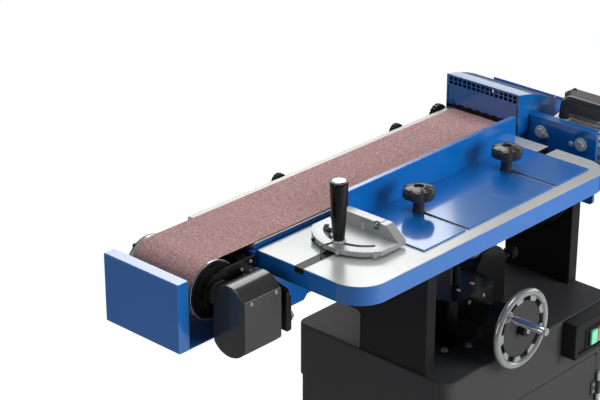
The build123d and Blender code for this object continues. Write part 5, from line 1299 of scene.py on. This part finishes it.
def make_lift_screw():
    radius, length = screw.span.x / 2, screw.span.z
    foot = screw.foot(UP)
    rows = round(length / THREAD_PITCH * PITCH_ROWS)
    bm = bmesh.new()
    rings = []
    for row in range(rows + 1):
        height = length * row / rows
        ring = []
        for step in range(THREAD_STEPS):
            share = (height / THREAD_PITCH - step / THREAD_STEPS) % 1
            crest = min(1.0, max(0.0, THREAD_SLOPE * abs(share - 0.5) - 1))
            reach = radius - THREAD_DEPTH * (1 - crest)
            angle = tau * step / THREAD_STEPS
            spot = Vector((reach * cos(angle), reach * sin(angle), height))
            ring.append(bm.verts.new(foot + spot * MM))
        rings.append(ring)
    skin(bm, rings, capped=True)
    settle(bm, "lift_screw_thread", "oxide", home["lift_screw"], ["lift_screw"])


make_lift_screw()

# %% [markdown]
# The idler drum has a dark flange with a bright edge at its near end, which keeps the belt on, and a
# black cap ring with bolts at its far end. All of it is turned about the drum's own axis.

# %% The drum's ends
drum = Extent("idler_drum")
FLANGE_RADIUS, FLANGE_RIM = 55.2, 1.2
SHELL_RADIUS, SHELL_GAP = 49, -0.3
END_INNER, END_THICK = 40, 4
END_BOLTS, END_BOLT, END_CIRCLE, FIRST_BOLT = 6, 6, 46, 124
near_place = standing(drum.foot(BACK), BACK)
far_end = drum.foot(FRONT)
far_place = standing(far_end, BACK)
shell, lip = drum.span.x / 2, FLANGE_RADIUS - FLANGE_RIM

face = [(shell, 6), (shell, 2), (SHELL_RADIUS, 0), (SHELL_RADIUS, SHELL_GAP), (shell, SHELL_GAP)]
face += [(lip, 2.4), (lip, 6), face[0]]
# The flange's darker black paint is painted shade, like that of the idler's carrier.
turned("drum_flange", [near_place], face, "shaded_black_paint", "idler", steps=96)
rim = [(lip, 2.2), (FLANGE_RADIUS, 2.6), (FLANGE_RADIUS, 6.2), (lip, 6.2), (lip, 2.2)]
turned("drum_flange_rim", [near_place], rim, "polished", "idler", steps=96)
ring = [(END_INNER, 0), (shell - 1, 0), (shell - 0.2, 1), (shell - 0.2, END_THICK - 1)]
ring += [(shell - 1.2, END_THICK), (END_INNER + 1, END_THICK), (END_INNER, END_THICK - 1), ring[0]]
turned("drum_end_cap", [far_place], ring, "black_plastic", "idler", steps=72)
angles = [FIRST_BOLT + 360 * step / END_BOLTS for step in range(END_BOLTS)]
bolt_ring = round_axis(far_end + BACK * END_THICK * MM, END_CIRCLE, angles)
bolt_places, end_bolt = [standing(spot, BACK) for spot, out in bolt_ring], cap_screw(END_BOLT)
turned("drum_cap_bolts", bolt_places, end_bolt, "oxide", "idler")

# %% [markdown]
# The dust spigot has a rolled bead that keeps the hose clip from slipping off. It is half a circle,
# turned about the spigot's axis.

# %% The spigot's bead
hood = Extent("dust_hood")
SPIGOT_Y, SPIGOT_Z, SPIGOT_RADIUS = 74.0, -104.0, 50
BEAD_INSET, BEAD_SIZE, BEAD_SINK = 8, 2.2, 0.2

spigot_place = standing(at((hood.right - DATUM.x) / MM - BEAD_INSET, SPIGOT_Y, SPIGOT_Z), RIGHT)
bead = arc(SPIGOT_RADIUS - BEAD_SINK, 0, BEAD_SIZE, -90, 90, 8)
turned("spigot_bead", [spigot_place], bead + bead[:1], "blue_paint", "head", steps=72)

# %% [markdown]
# The studio is a pale floor under a white sky. The sky is white to the camera only. As a light source
# it is dim, so the part is lit at a plain level. Reflections see a dark room with a low bright backdrop
# behind the machine, and a floor that is dimmer than the camera sees it. The floor glows towards the
# camera, which keeps it white and leaves a soft shadow under the machine.

# %% The floor
FLOOR_HALF, FLOOR_CELLS, FLOOR_GAP = 14, 8, 0.5
FLOOR_GLOW, GLOW_LEVEL = 0.92, 1.06


def make_floor():
    bm = bmesh.new()
    bmesh.ops.create_grid(bm, x_segments=FLOOR_CELLS, y_segments=FLOOR_CELLS, size=FLOOR_HALF)
    mesh = bpy.data.meshes.new("floor")
    bm.to_mesh(mesh)
    bm.free()
    floor = bpy.data.objects.new("floor", mesh)
    floor.location.z = cad_box[0].z - FLOOR_GAP * MM
    bpy.context.scene.collection.objects.link(floor)
    finish = Finish("studio_floor")
    mirrored = finish.node("ShaderNodeLightPath", output="Is Glossy Ray")
    tint = finish.mix(mirrored, screen(244, 244, 244), screen(165, 165, 165))
    finish.shade({"Base Color": tint, "Roughness": 0.9, "Specular IOR Level": 0.1})
    seen = finish.node("ShaderNodeLightPath", output="Is Camera Ray")
    glow = finish.node("ShaderNodeEmission", None, {"Strength": GLOW_LEVEL})
    shaders = {0: FLOOR_GLOW * seen, 1: Wire(finish.shader.outputs[0]), 2: glow}
    surface = finish.tree.nodes["Material Output"].inputs["Surface"]
    plug(surface, finish.node("ShaderNodeMixShader", None, shaders))
    mesh.materials.append(finish.material)
    print("Floor at", round(floor.location.z / MM, 1), "mm")


make_floor()

# %% [markdown]
# The sky tells rays apart: to the camera it is white, to a glossy surface it is the dark room with
# the backdrop, and to everything else a dim even light. The direction of a ray picks the backdrop.

# %% The sky
SKY_LIGHT, SKY_SHEEN = 0.16, 0.08
BACKDROP_SHEEN, BACKDROP_TOP = 1.2, 0.33
BACKDROP_WAY = (0.62, 0.78, 0.0)


def make_sky():
    world = bpy.data.worlds.new("studio")
    world.use_nodes = True
    bpy.context.scene.world = world
    tree = world.node_tree
    path = tree.nodes.new("ShaderNodeLightPath")
    seen = Wire(path.outputs["Is Camera Ray"]) + Wire(path.outputs["Is Transmission Ray"])
    glossy = Wire(path.outputs["Is Glossy Ray"]) * (1 - seen)
    towards = Wire(tree.nodes.new("ShaderNodeTexCoord").outputs["Generated"])
    backdrop = (towards.dot(BACKDROP_WAY) > 0) * (towards.dot(UP) < BACKDROP_TOP)
    sheen = SKY_SHEEN + (BACKDROP_SHEEN - SKY_SHEEN) * backdrop
    strength = seen + glossy * sheen + (1 - seen) * (1 - glossy) * SKY_LIGHT
    plug(tree.nodes["Background"].inputs["Strength"], strength)
    plug(tree.nodes["Background"].inputs["Color"], (1, 1, 1, 1))


make_sky()
print("Sky gives", SKY_LIGHT, "of full light")

# %% [markdown]
# Four soft lamps stand in for a studio. One hangs overhead. One stands in front, so the faces towards
# the operator are brighter than the end of the machine, which a weaker one fills from the left. Gloss
# doesn't mirror the front one, because it would burn out the guards as seen from behind. A tall lamp
# behind puts the long pale sheen on everything that is glossy and looks up.

# %% Lamps


def softbox(name, offset, size, power, mirrored=True):
    """A rectangular lamp, placed from the table's middle, aimed at it, mirrored by gloss or not."""
    data = bpy.data.lights.new(name, "AREA")
    data.shape = "RECTANGLE"
    data.size, data.size_y = size
    data.energy = power
    lamp = bpy.data.objects.new(name, data)
    lamp.location = table.middle + Vector(offset)
    lamp.rotation_euler = (-Vector(offset)).to_track_quat("-Z", "Y").to_euler()
    lamp.visible_glossy = mirrored
    bpy.context.scene.collection.objects.link(lamp)
    print(name, power, "W")


softbox("overhead", offset=(-0.1, 0.1, 2.3), size=(1.3, 1.3), power=21)
softbox("front", offset=(1.2, -2.9, 0.7), size=(1.8, 1.8), power=110, mirrored=False)
softbox("left_fill", offset=(-1.6, 0.3, 0.2), size=(0.8, 0.8), power=3.2)
softbox("sheen", offset=(1.36, 1.67, 2.07), size=(1.3, 2.06), power=32)

# %% [markdown]
# The camera stands where the photograph was taken from: in front and to the left, looking down, with
# a long lens that hardly converges.

# %% Camera
CAMERA_SPOT = (-2.70053, -2.1056, 2.40474)
CAMERA_TILT, CAMERA_PAN = 65.8, -46.87
CAMERA_LENS = 116.165

camera_data = bpy.data.cameras.new("photo_camera")
camera_data.lens = CAMERA_LENS
camera = bpy.data.objects.new("photo_camera", camera_data)
camera.location = CAMERA_SPOT
camera.rotation_euler = Euler((radians(CAMERA_TILT), 0, radians(CAMERA_PAN)))
bpy.context.scene.collection.objects.link(camera)
bpy.context.scene.camera = camera
bpy.context.scene.view_settings.view_transform = "Standard"
print("Camera", CAMERA_SPOT)
